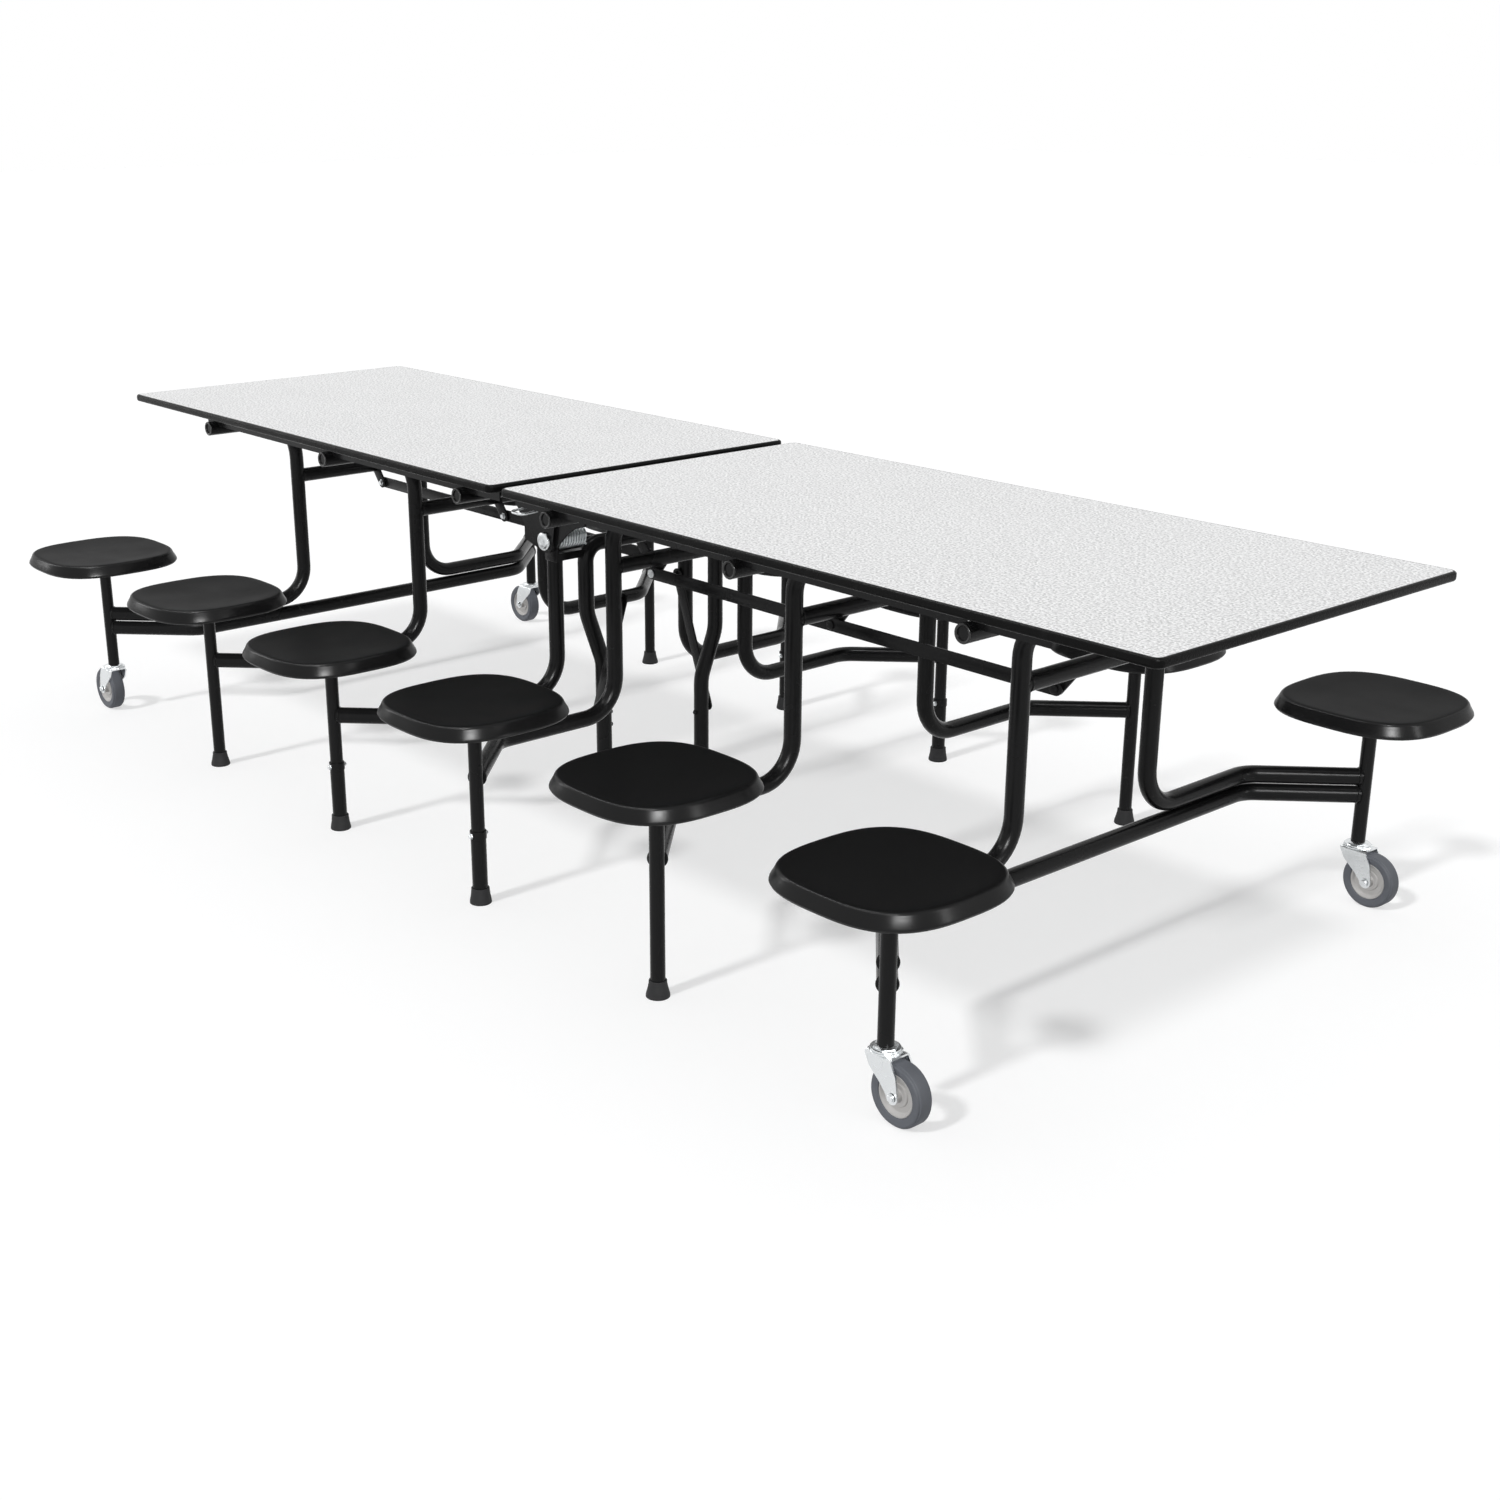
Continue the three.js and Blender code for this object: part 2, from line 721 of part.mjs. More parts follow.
// Hinge pins with broad heads, and a lift spring wound round each between a middle leg and its ear
const springR = springMean / 2;
const springFrom = -Math.PI / 2;
const springTo = springFrom + springTurns * 2 * Math.PI;
const springEnd = springStart + springPitch * springTurns;
const earOut = rightPlateY - hingePlateThick / 2 - runGap;
const earIn = earOut - earThick;
const coil = (angle, y) =>
  new THREE.Vector3(springR * Math.cos(angle), y, hingeZ + springR * Math.sin(angle));
const springPath = [
  coil(springFrom - springLead, springStart - springTail),
  coil(springFrom - springLead, springStart - springRise),
];
for (let k = 0; k <= springTurns * 8; k += 1) {
  springPath.push(coil(springFrom + (k / 8) * 2 * Math.PI, springStart + springPitch * (k / 8)));
}
springPath.push(coil(springTo + springLead, springEnd + springRise));
springPath.push(coil(springTo + springLead, earIn - seatGap));
let springLeast = Infinity;
for (let i = 0; i < springPath.length; i += 1) {
  for (let j = i + 5; j < springPath.length; j += 1) {
    springLeast = Math.min(springLeast, springPath[i].distanceTo(springPath[j]) - springWire);
  }
}
console.log(`least gap of the spring to itself ${springLeast.toFixed(2)} mm`);
const springSolid = tube(springPath, springWire / 2, 5);
const headFace = leftPlateY + hingePlateThick / 2 + seatGap;
const pinSolid = join([
  rod([0, hingePinEnd, hingeZ], [0, headFace + 1, hingeZ], hingePinR, pivotSides),
  rod([0, headFace, hingeZ], [0, headFace + hingeHeadThick, hingeZ], hingeHeadR, 16),
]);
for (const [side, y] of sides) {
  place(`pin_${side}`, pinSolid, 'zinc', y);
  place(`spring_${side}`, springSolid, 'zinc', y);
}

// Middle legs: a bent tube with swan necks, ears on stubs for the hinge pins, and foot bolts
const footLow = bootSole + seatGap;
const middleParts = [tube(bends([
  [middleX, -middleFootY, footLow],
  [middleX, -middleFootY, swanLowNear, swanRadius],
  [middleX, -middleTopY, swanHighNear, swanRadius],
  [middleX, -middleTopY, middleTopZ, middleCorner],
  [middleX, middleTopY, middleTopZ, middleCorner],
  [middleX, middleTopY, swanHighFar, swanRadius],
  [middleX, middleFootY, swanLowFar, swanRadius],
  [middleX, middleFootY, footLow],
]), middleR, tubeSides)];
for (const [side, y] of sides) {
  const span = (a, b) => (y > 0 ? [a, b] : [-b, -a]);
  const outline = [[-earFoot, earLow], [earFoot, earLow], ...arc(0, hingeZ, earHalf, 0, 180, 8)];
  const hole = bore([0, y * (earIn - 1), hingeZ], [0, y * (earOut + 1), hingeZ], hingePinR, pivotSides);
  middleParts.push(upright(outline, ...span(earIn, earOut)).subtract(hole));
  const stubX = [middleX - stubWidth / 2, middleX + stubWidth / 2];
  middleParts.push(box(...stubX, ...span(middleTopY, earIn + 1), earLow, earLow + stubHeight));
  const boltFrom = [middleX, y * middleFootY, braceFootZ[side]];
  const boltTip = [middleX, y * (middleFootY - middleR - footBoltOut), braceFootZ[side]];
  middleParts.push(rod(boltFrom, boltTip, footBoltR, 6));
}
place('middle_legs', join(middleParts), 'steel');
const middleBoot = boot(middleR);
for (const [side, y] of sides) {
  place(`boot_middle_${side}`, middleBoot.translate([middleX, y * middleFootY, 0]), 'boot');
}

// Link bars, drilled for the three lug pins of each half
for (const [name, sign] of [['link_left', -1], ['link_right', 1]]) {
  const pins = pivotX.map((x) => x - legIn - linkIn);
  const y0 = -linkY - linkThick / 2;
  const [low, high] = [linkZ - linkHeight / 2, linkZ + linkHeight / 2];
  const y1 = y0 + linkThick;
  const drills = pins.map((x) => bore([x, y0 - 1, linkZ], [x, y1 + 1, linkZ], linkPinR, tubeSides));
  const bar = box(pins[0] - linkEnd, pins[2] + linkEnd, y0, y1, low, high);
  place(name, bar.subtract(join(drills)), 'steel', sign);
}

// Brace bars, hung on the stud of each inner frame: the near one on the right, the far one on the left
for (const [side, y] of sides) {
  const braceX = -y * (pivotX[0] - legIn);
  const inFace = braceY - braceThick / 2;
  const outFace = braceY + braceThick / 2;
  const [y0, y1] = y > 0 ? [inFace, outFace] : [-outFace, -inFace];
  const [topZ, footZ] = [braceTopZ[side], braceFootZ[side]];
  const drill = bore([braceX, y0 - 1, topZ], [braceX, y1 + 1, topZ], bracePinR, tubeSides);
  const bar = strap(braceX, topZ, middleX, footZ, braceWidth, y0, y1).subtract(drill);
  const boltFrom = [middleX, y * (outFace - 1), footZ];
  const bolt = rod(boltFrom, [middleX, y * (outFace + braceBoltThick), footZ], braceBoltR, 6);
  place(`brace_${side}`, bar.add(bolt), 'steel');
}

export default group;
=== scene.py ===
import json
from math import atan2, cos, pi, radians, sin, tan

import bmesh
import bpy
from mathutils import Matrix, Vector


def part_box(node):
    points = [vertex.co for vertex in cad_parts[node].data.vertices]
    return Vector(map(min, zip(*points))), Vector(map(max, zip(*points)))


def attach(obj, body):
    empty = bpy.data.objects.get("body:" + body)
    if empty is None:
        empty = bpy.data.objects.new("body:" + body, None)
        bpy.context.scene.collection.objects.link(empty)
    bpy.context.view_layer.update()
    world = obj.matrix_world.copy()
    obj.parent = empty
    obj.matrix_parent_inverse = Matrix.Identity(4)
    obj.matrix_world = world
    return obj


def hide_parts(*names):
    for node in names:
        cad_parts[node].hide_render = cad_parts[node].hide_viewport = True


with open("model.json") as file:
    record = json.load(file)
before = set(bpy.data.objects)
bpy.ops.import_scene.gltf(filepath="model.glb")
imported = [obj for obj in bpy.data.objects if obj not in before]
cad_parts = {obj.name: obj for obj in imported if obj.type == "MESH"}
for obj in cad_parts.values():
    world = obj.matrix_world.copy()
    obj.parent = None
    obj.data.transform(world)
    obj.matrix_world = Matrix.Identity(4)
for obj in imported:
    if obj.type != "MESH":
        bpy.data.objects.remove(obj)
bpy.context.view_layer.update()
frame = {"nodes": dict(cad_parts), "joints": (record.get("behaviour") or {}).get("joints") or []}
nodes = frame["nodes"]
hinge_point = {j["name"]: Vector(j["pos_m"]) for j in frame["joints"]}
scene = bpy.context.scene
scene.view_settings.view_transform = "Standard"


# Studio
# A pale seamless floor under a soft overhead lamp, a front lamp that throws the posts' thin shadows back
# across it, pale cards for the black coats to mirror, and a camera at the height of someone at the corner.
CAMERA_PLACE = Vector((3.0436, -2.4658, 1.4349))
CAMERA_TURN = radians(49.815)
CAMERA_DROP = radians(18.843)
CAMERA_ROLL = radians(-0.170)
LENS_MM = 47.155
SENSOR_MM = 36
LENS_SHIFT = (0.03945, -0.00123)

camera_data = bpy.data.cameras.new("camera")
camera_data.lens = LENS_MM
camera_data.sensor_width = SENSOR_MM
camera_data.shift_x, camera_data.shift_y = LENS_SHIFT
camera = bpy.data.objects.new("camera", camera_data)
camera.matrix_world = (
    Matrix.Translation(CAMERA_PLACE)
    @ Matrix.Rotation(CAMERA_TURN, 4, "Z")
    @ Matrix.Rotation(pi / 2 - CAMERA_DROP, 4, "X")
    @ Matrix.Rotation(CAMERA_ROLL, 4, "Z")
)
scene.collection.objects.link(camera)
scene.camera = camera


def aim(light, place, target):
    light.location = place
    light.rotation_euler = (Vector(target) - Vector(place)).to_track_quat("-Z", "Y").to_euler()
    scene.collection.objects.link(light)


# The overhead lamp draws the tops' shadow on the floor, and the front lamp that of the frames and tyres
tops_shadow = bpy.data.collections.new("tops_shadow")
posts_shadow = bpy.data.collections.new("posts_shadow")
for name, place, energy, spread, shows, casters in (
    ("overhead", (0.27, -0.2, 1.0), 0.85, 9, True, tops_shadow),
    ("front", (0.0, -1.0, 0.9), 1.45, 6, False, posts_shadow),
):
    sun = bpy.data.lights.new(name, "SUN")
    sun.energy = energy
    sun.angle = radians(spread)
    lamp = bpy.data.objects.new(name, sun)
    lamp.visible_glossy = shows
    lamp.light_linking.blocker_collection = casters
    aim(lamp, place, (0, 0, 0))

# Cards that only show as highlights on the black coats, and leave the pale tops alone
no_cards = bpy.data.collections.new("no_cards")
for name, place, target, size, watts in (
    ("left_card", (-4.2, -2.2, 2.0), (0, 0, 0.4), (0.4, 2.4), 30),
    ("right_card", (4.6, 1.4, 2.0), (0, 0, 0.4), (0.4, 2.4), 30),
    ("camera_card", (5.0, -2.6, 3.3), (0, 0, 0.4), (2.4, 1.6), 230),
    ("camera_core", (4.95, -2.57, 3.27), (0, 0, 0.4), (1.0, 0.7), 90),
    ("high_card", (-2.5, -0.6, 4.3), (-2.5, 0.0, 0), (6.0, 0.3), 110),
    ("near_card", (0.6, -2.2, 4.4), (0.6, 0, 0.4), (4.5, 0.22), 40),
):
    panel = bpy.data.lights.new(name, "AREA")
    panel.shape = "RECTANGLE"
    panel.size, panel.size_y = size
    panel.energy = watts
    card = bpy.data.objects.new(name, panel)
    card.visible_diffuse = False
    card.light_linking.receiver_collection = no_cards
    aim(card, place, target)


def watched(tree):
    """1 for rays that show the backdrop: from the camera, off a gloss or through glass."""
    path = tree.nodes.new("ShaderNodeLightPath")
    shown = path.outputs["Is Camera Ray"]
    for kind in ("Is Glossy Ray", "Is Transmission Ray"):
        either = tree.nodes.new("ShaderNodeMath")
        either.operation = "MAXIMUM"
        tree.links.new(shown, either.inputs[0])
        tree.links.new(path.outputs[kind], either.inputs[1])
        shown = either.outputs[0]
    return shown


FILL = 0.43
world = bpy.data.worlds.new("studio")
world.use_nodes = True
scene.world = world
sky = world.node_tree
sky.nodes.clear()
backdrop = sky.nodes.new("ShaderNodeBackground")
backdrop.inputs["Color"].default_value = (1, 1, 1, 1)
fill = sky.nodes.new("ShaderNodeBackground")
fill.inputs["Color"].default_value = (0.98, 0.99, 1, 1)
fill.inputs["Strength"].default_value = FILL
choose = sky.nodes.new("ShaderNodeMixShader")
world_out = sky.nodes.new("ShaderNodeOutputWorld")
sky.links.new(watched(sky), choose.inputs[0])
sky.links.new(fill.outputs[0], choose.inputs[1])
sky.links.new(backdrop.outputs[0], choose.inputs[2])
sky.links.new(choose.outputs[0], world_out.inputs[0])

FLOOR_HALF = 30
FLOOR_GREY = 0.62
FLOOR_LIFT = 0.42
bm = bmesh.new()
bmesh.ops.create_grid(bm, x_segments=1, y_segments=1, size=FLOOR_HALF)
floor_mesh = bpy.data.meshes.new("floor")
bm.to_mesh(floor_mesh)
bm.free()
floor = bpy.data.objects.new("floor", floor_mesh)
scene.collection.objects.link(floor)

floor_paint = bpy.data.materials.new("floor")
floor_paint.use_nodes = True
tree = floor_paint.node_tree
tree.nodes.clear()
matt = tree.nodes.new("ShaderNodeBsdfDiffuse")
matt.inputs["Color"].default_value = (FLOOR_GREY, FLOOR_GREY, FLOOR_GREY, 1)
glow = tree.nodes.new("ShaderNodeEmission")
lift = tree.nodes.new("ShaderNodeMath")
lift.operation = "MULTIPLY"
lift.inputs[1].default_value = FLOOR_LIFT
both = tree.nodes.new("ShaderNodeAddShader")
floor_out = tree.nodes.new("ShaderNodeOutputMaterial")
tree.links.new(watched(tree), lift.inputs[0])
tree.links.new(lift.outputs[0], glow.inputs["Strength"])
tree.links.new(matt.outputs[0], both.inputs[0])
tree.links.new(glow.outputs[0], both.inputs[1])
tree.links.new(both.outputs[0], floor_out.inputs["Surface"])
floor_mesh.materials.append(floor_paint)


# Leg frames
# Each is welded from steel tube: a pivot tube across the table, two legs bent down and out into the stool
# arms, a cross tube and the stool posts. The end frames carry a second tube under the arms. Satin black
# powder is baked on, with a fine orange peel, duller patches, and grey scuffs from shoes and bags.
def new_group(name, inputs, outputs):
    group = bpy.data.node_groups.new(name, "ShaderNodeTree")
    for label, kind, default in inputs:
        socket = group.interface.new_socket(label, in_out="INPUT", socket_type=kind)
        socket.default_value = default
    for label, kind in outputs:
        group.interface.new_socket(label, in_out="OUTPUT", socket_type=kind)
    return group, group.nodes.new("NodeGroupInput"), group.nodes.new("NodeGroupOutput")


# Fine skin: two sizes of noise give a height, and the broad one a slow change of sheen
fine_skin, gate, exit_gate = new_group(
    "fine_skin",
    [("Grain", "NodeSocketFloat", 900.0), ("Patch", "NodeSocketFloat", 9.0),
     ("Dull", "NodeSocketFloat", 0.5), ("Shiny", "NodeSocketFloat", 0.4)],
    [("Height", "NodeSocketFloat"), ("Roughness", "NodeSocketFloat")],
)
place = fine_skin.nodes.new("ShaderNodeTexCoord")
grain = fine_skin.nodes.new("ShaderNodeTexNoise")
grain.inputs["Detail"].default_value = 2
patch = fine_skin.nodes.new("ShaderNodeTexNoise")
patch.inputs["Detail"].default_value = 4
sheen = fine_skin.nodes.new("ShaderNodeMapRange")
sheen.inputs["From Min"].default_value = 0.3
sheen.inputs["From Max"].default_value = 0.7
for noise, size in ((grain, "Grain"), (patch, "Patch")):
    fine_skin.links.new(place.outputs["Object"], noise.inputs["Vector"])
    fine_skin.links.new(gate.outputs[size], noise.inputs["Scale"])
fine_skin.links.new(patch.outputs["Fac"], sheen.inputs["Value"])
fine_skin.links.new(gate.outputs["Shiny"], sheen.inputs["To Min"])
fine_skin.links.new(gate.outputs["Dull"], sheen.inputs["To Max"])
fine_skin.links.new(grain.outputs["Fac"], exit_gate.inputs["Height"])
fine_skin.links.new(sheen.outputs["Result"], exit_gate.inputs["Roughness"])

# Scuffs: stretched noise cut to a few thin marks, mixed over the ground colour
scuffed, gate, exit_gate = new_group(
    "scuffed",
    [("Ground", "NodeSocketColor", (0.02, 0.02, 0.02, 1)), ("Mark", "NodeSocketColor", (0.1, 0.1, 0.1, 1)),
     ("Size", "NodeSocketFloat", 30.0), ("Amount", "NodeSocketFloat", 0.3)],
    [("Color", "NodeSocketColor"), ("Mask", "NodeSocketFloat")],
)
place = scuffed.nodes.new("ShaderNodeTexCoord")
stretch = scuffed.nodes.new("ShaderNodeMapping")
stretch.inputs["Scale"].default_value = (1.0, 1.0, 0.25)
stretch.inputs["Rotation"].default_value = (0.3, 0.5, 0.2)
marks = scuffed.nodes.new("ShaderNodeTexNoise")
marks.inputs["Detail"].default_value = 8
marks.inputs["Roughness"].default_value = 0.7
cut = scuffed.nodes.new("ShaderNodeMapRange")
cut.inputs["From Min"].default_value = 0.58
cut.inputs["From Max"].default_value = 0.74
share = scuffed.nodes.new("ShaderNodeMath")
share.operation = "MULTIPLY"
blend = scuffed.nodes.new("ShaderNodeMix")
blend.data_type = "RGBA"
scuffed.links.new(place.outputs["Object"], stretch.inputs["Vector"])
scuffed.links.new(stretch.outputs["Vector"], marks.inputs["Vector"])
scuffed.links.new(gate.outputs["Size"], marks.inputs["Scale"])
scuffed.links.new(marks.outputs["Fac"], cut.inputs["Value"])
scuffed.links.new(cut.outputs["Result"], share.inputs[0])
scuffed.links.new(gate.outputs["Amount"], share.inputs[1])
scuffed.links.new(share.outputs[0], blend.inputs["Factor"])
scuffed.links.new(gate.outputs["Ground"], blend.inputs["A"])
scuffed.links.new(gate.outputs["Mark"], blend.inputs["B"])
scuffed.links.new(blend.outputs["Result"], exit_gate.inputs["Color"])
scuffed.links.new(share.outputs[0], exit_gate.inputs["Mask"])


def coating(name, ground, mark, scuffs, skin, bump, settings):
    """A material with scuffed colour, a fine skin in height and roughness, and plain values on the shader."""
    material = bpy.data.materials.new(name)
    material.use_nodes = True
    tree = material.node_tree
    shader = tree.nodes["Principled BSDF"]
    for socket, value in settings.items():
        shader.inputs[socket].default_value = value
    wear = tree.nodes.new("ShaderNodeGroup")
    wear.node_tree = scuffed
    wear.inputs["Ground"].default_value = (*ground, 1)
    wear.inputs["Mark"].default_value = (*mark, 1)
    wear.inputs["Size"].default_value, wear.inputs["Amount"].default_value = scuffs
    surface = tree.nodes.new("ShaderNodeGroup")
    surface.node_tree = fine_skin
    for socket, value in zip(("Grain", "Patch", "Dull", "Shiny"), skin):
        surface.inputs[socket].default_value = value
    relief = tree.nodes.new("ShaderNodeBump")
    relief.inputs["Strength"].default_value, relief.inputs["Distance"].default_value = bump
    tree.links.new(wear.outputs["Color"], shader.inputs["Base Color"])
    tree.links.new(surface.outputs["Roughness"], shader.inputs["Roughness"])
    tree.links.new(surface.outputs["Height"], relief.inputs["Height"])
    tree.links.new(relief.outputs["Normal"], shader.inputs["Normal"])
    return material


powder_coat = coating(
    "satin_black_powder_coat", ground=(0.008, 0.008, 0.0083), mark=(0.026, 0.026, 0.027), scuffs=(26, 0.15),
    skin=(1400, 11, 0.3, 0.2), bump=(0.08, 0.0005), settings={"Specular IOR Level": 0.13},
)

TUBE_R = 0.016
THIN_R = 0.0127
SLEEVE_R = 0.0143
LEG_BACK = 0.050
LEG_Y = 0.172
KNEE_DROP = 0.060
KNEE_BEND = 0.070
ARM_Z = 0.240
FOOT_BEND = 0.075
JOGGLE_Y = 0.459
JOGGLE_BEND = 0.060
LOWER_Z = 0.206
CROSS_DROP = 0.128
POST_OUT = 0.103
POST_Y = 0.612
ARM_STOP = 0.007
POST_TOP = 0.373
STOOL_PLATE_R = 0.055
STOOL_PLATE = 0.004
SLEEVE_TOP = 0.142
SLEEVE_COLLAR = 0.016
SLEEVE_LIP = 0.0012
ARM_BEAD = (0.0006, 0.0022)
BEAD = (0.0004, 0.002)
ARM_SEAM = 0.0045
CROSS_SEAM = 0.004
KNEE_SEAM = Vector((-0.0085, 0, -0.0135))
KNEE_WAY = (-0.55, 0, -0.83)
BOOT_SOLE = 0.006
FORK_TOP = 0.1163
PIVOT_HALF = 0.3675
RING = 28
BEND_STEP = radians(7.5)
SIDES = (("n", -1), ("f", 1))


def bent_tube(bm, corners, radius, ring=RING):
    """Draws a ring along straight runs and round bends. Each inner corner is a point and its bend radius."""
    points = [Vector(corner[:3]) for corner in corners]
    ahead = (points[1] - points[0]).normalized()
    stand = Matrix.Translation(points[0]) @ ahead.to_track_quat("Z", "Y").to_matrix().to_4x4()
    first = bmesh.ops.create_circle(bm, cap_ends=False, radius=radius, segments=ring, matrix=stand)["verts"]
    loop = list({edge for vert in first for edge in vert.link_edges})
    ends = [loop]
    here = points[0]
    for i in range(1, len(points)):
        ahead = (points[i] - points[i - 1]).normalized()
        stop = points[i]
        turn = 0
        if i < len(points) - 1:
            onward = (points[i + 1] - points[i]).normalized()
            turn = ahead.angle(onward)
            reach = corners[i][3] * tan(turn / 2)
            stop = points[i] - ahead * reach
        grown = bmesh.ops.extrude_edge_only(bm, edges=loop)["geom"]
        moved = [v for v in grown if isinstance(v, bmesh.types.BMVert)]
        bmesh.ops.translate(bm, vec=stop - here, verts=moved)
        loop = [e for e in grown if isinstance(e, bmesh.types.BMEdge) and len(e.link_faces) == 1]
        here = stop
        if turn:
            axis = ahead.cross(onward).normalized()
            centre = stop + axis.cross(ahead) * corners[i][3]
            steps = max(3, round(turn / BEND_STEP))
            swept = bmesh.ops.spin(
                bm, geom=loop, cent=centre, axis=axis, angle=turn, steps=steps, use_duplicate=False,
            )["geom_last"]
            loop = [e for e in swept if isinstance(e, bmesh.types.BMEdge)]
            here = points[i] + onward * reach
    ends.append(loop)
    for end in ends:
        bmesh.ops.holes_fill(bm, edges=end, sides=0)


def turned(bm, profile, stand, ring=RING):
    """Spins a profile of (radius, height) about the stand's own Z."""
    verts = [bm.verts.new(stand @ Vector((r, 0, z))) for r, z in profile]
    edges = [bm.edges.new(pair) for pair in zip(verts, verts[1:])]
    axis = stand.to_3x3() @ Vector((0, 0, 1))
    bmesh.ops.spin(
        bm, geom=verts + edges, cent=stand.translation, axis=axis, angle=2 * pi, steps=ring,
        use_merge=True, use_duplicate=False,
    )


def round_edge(cx, cz, radius, start, end, steps=5):
    """Points of a rounded edge of a profile, by angle in degrees."""
    angles = [radians(start + (end - start) * k / steps) for k in range(steps + 1)]
    return [(cx + radius * cos(a), cz + radius * sin(a)) for a in angles]


def stand_at(point, direction):
    """A frame at a point with its Z along a direction."""
    return Matrix.Translation(point) @ Vector(direction).to_track_quat("Z", "Y").to_matrix().to_4x4()


def weld(bm, place, direction, sunk, size):
    """The bead round the end of a tube where it meets another."""
    turned(bm, round_edge(TUBE_R - sunk, 0, size, -110, 110, 6), stand_at(place, direction))


def make_piece(bm, name, material, body, replaces=(), sharp=38):
    """Closes a mesh, turns its faces outwards, and puts it on its body in place of CAD nodes."""
    bmesh.ops.remove_doubles(bm, verts=bm.verts, dist=1e-6)
    bmesh.ops.recalc_face_normals(bm, faces=bm.faces)
    mesh = bpy.data.meshes.new(name)
    bm.to_mesh(mesh)
    bm.free()
    mesh.shade_smooth()
    mesh.set_sharp_from_angle(angle=radians(sharp))
    mesh.materials.append(material)
    piece = bpy.data.objects.new(name, mesh)
    scene.collection.objects.link(piece)
    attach(piece, body)
    if replaces:
        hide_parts(*replaces)
    return piece


EDGE_BREAK = 0.0008


def plate(bm, outline, y0, y1):
    """A flat bar or plate cut to an outline in X and Z, with its edges broken."""
    verts = [bm.verts.new((x, y0, z)) for x, z in outline]
    face = bm.faces.new(verts)
    grown = bmesh.ops.extrude_face_region(bm, geom=[face])["geom"]
    top = [v for v in grown if isinstance(v, bmesh.types.BMVert)]
    bmesh.ops.translate(bm, vec=(0, y1 - y0, 0), verts=top)
    rims = [e for e in bm.edges if e.is_valid and any(v in set(verts + top) for v in e.verts)]
    flat = [e for e in rims if abs(e.verts[0].co.y - e.verts[1].co.y) < 1e-7]
    bmesh.ops.bevel(
        bm, geom=flat, offset=EDGE_BREAK, offset_type="OFFSET", segments=2, profile=0.5, affect="EDGES",
        material=-1, clamp_overlap=True,
    )


def strap_outline(start, end, width, steps=10):
    """The outline of a bar with round ends between two points of X and Z."""
    lean = atan2(end[1] - start[1], end[0] - start[0])
    outline = []
    for (x, z), first in ((end, lean - pi / 2), (start, lean + pi / 2)):
        for k in range(steps + 1):
            angle = first + pi * k / steps
            outline.append((x + width / 2 * cos(angle), z + width / 2 * sin(angle)))
    return outline


def bolt_head(bm, place, direction, radius, height, sides=6):
    """A bolt head with its crown chamfered and a washer under it."""
    stand = stand_at(place, direction)
    rim = [(0, 0), (radius * 1.25, 0), (radius * 1.25, height * 0.22), (radius, height * 0.22)]
    crown = [(radius, height * 0.8), (radius * 0.8, height), (0, height)]
    turned(bm, rim + crown, stand, ring=sides * 2 if sides > 6 else sides)


HALF_TURN = Matrix.Rotation(pi, 4, "Z")


def turn_half(bm, sign):
    """Turns a mesh made for the right half or the far side end for end, where the sign asks for it."""
    if sign < 0:
        bmesh.ops.transform(bm, matrix=HALF_TURN, verts=bm.verts)


LINK_Y = 0.048
LINK_THICK = 0.005
LINK_BACK = 0.032
LINK_DROP = 0.039
LUG_WIDTH = 0.026
LUG_THICK = 0.005
LINK_PIN_R = 0.006
LINK_HEAD_R = 0.009
BRACE_Y = 0.1495
BRACE_THICK = 0.004
STUD_R = 0.005
STUD_HEAD = (0.0062, 0.004)
LINK_NUT = (0.0062, 0.0062)
SET_BOLT = (0.0045, 0.0048)
SET_BOLT_DROP = 0.0085
PLAY = 0.001
SINK = 0.0004
FRAMES = [(half, sign, row) for half, sign in (("l", -1), ("r", 1)) for row in ("inner", "mid", "end")]

plug_plastic = coating(
    "black_plug_plastic", ground=(0.006, 0.006, 0.006), mark=(0.02, 0.02, 0.02), scuffs=(60, 0.2),
    skin=(2200, 30, 0.3, 0.2), bump=(0.06, 0.0003), settings={"Specular IOR Level": 0.5},
)
bright_zinc = coating(
    "bright_zinc_plate", ground=(0.73, 0.75, 0.76), mark=(0.45, 0.47, 0.49), scuffs=(55, 0.5),
    skin=(700, 40, 0.36, 0.2), bump=(0.06, 0.0004), settings={"Metallic": 1.0},
)

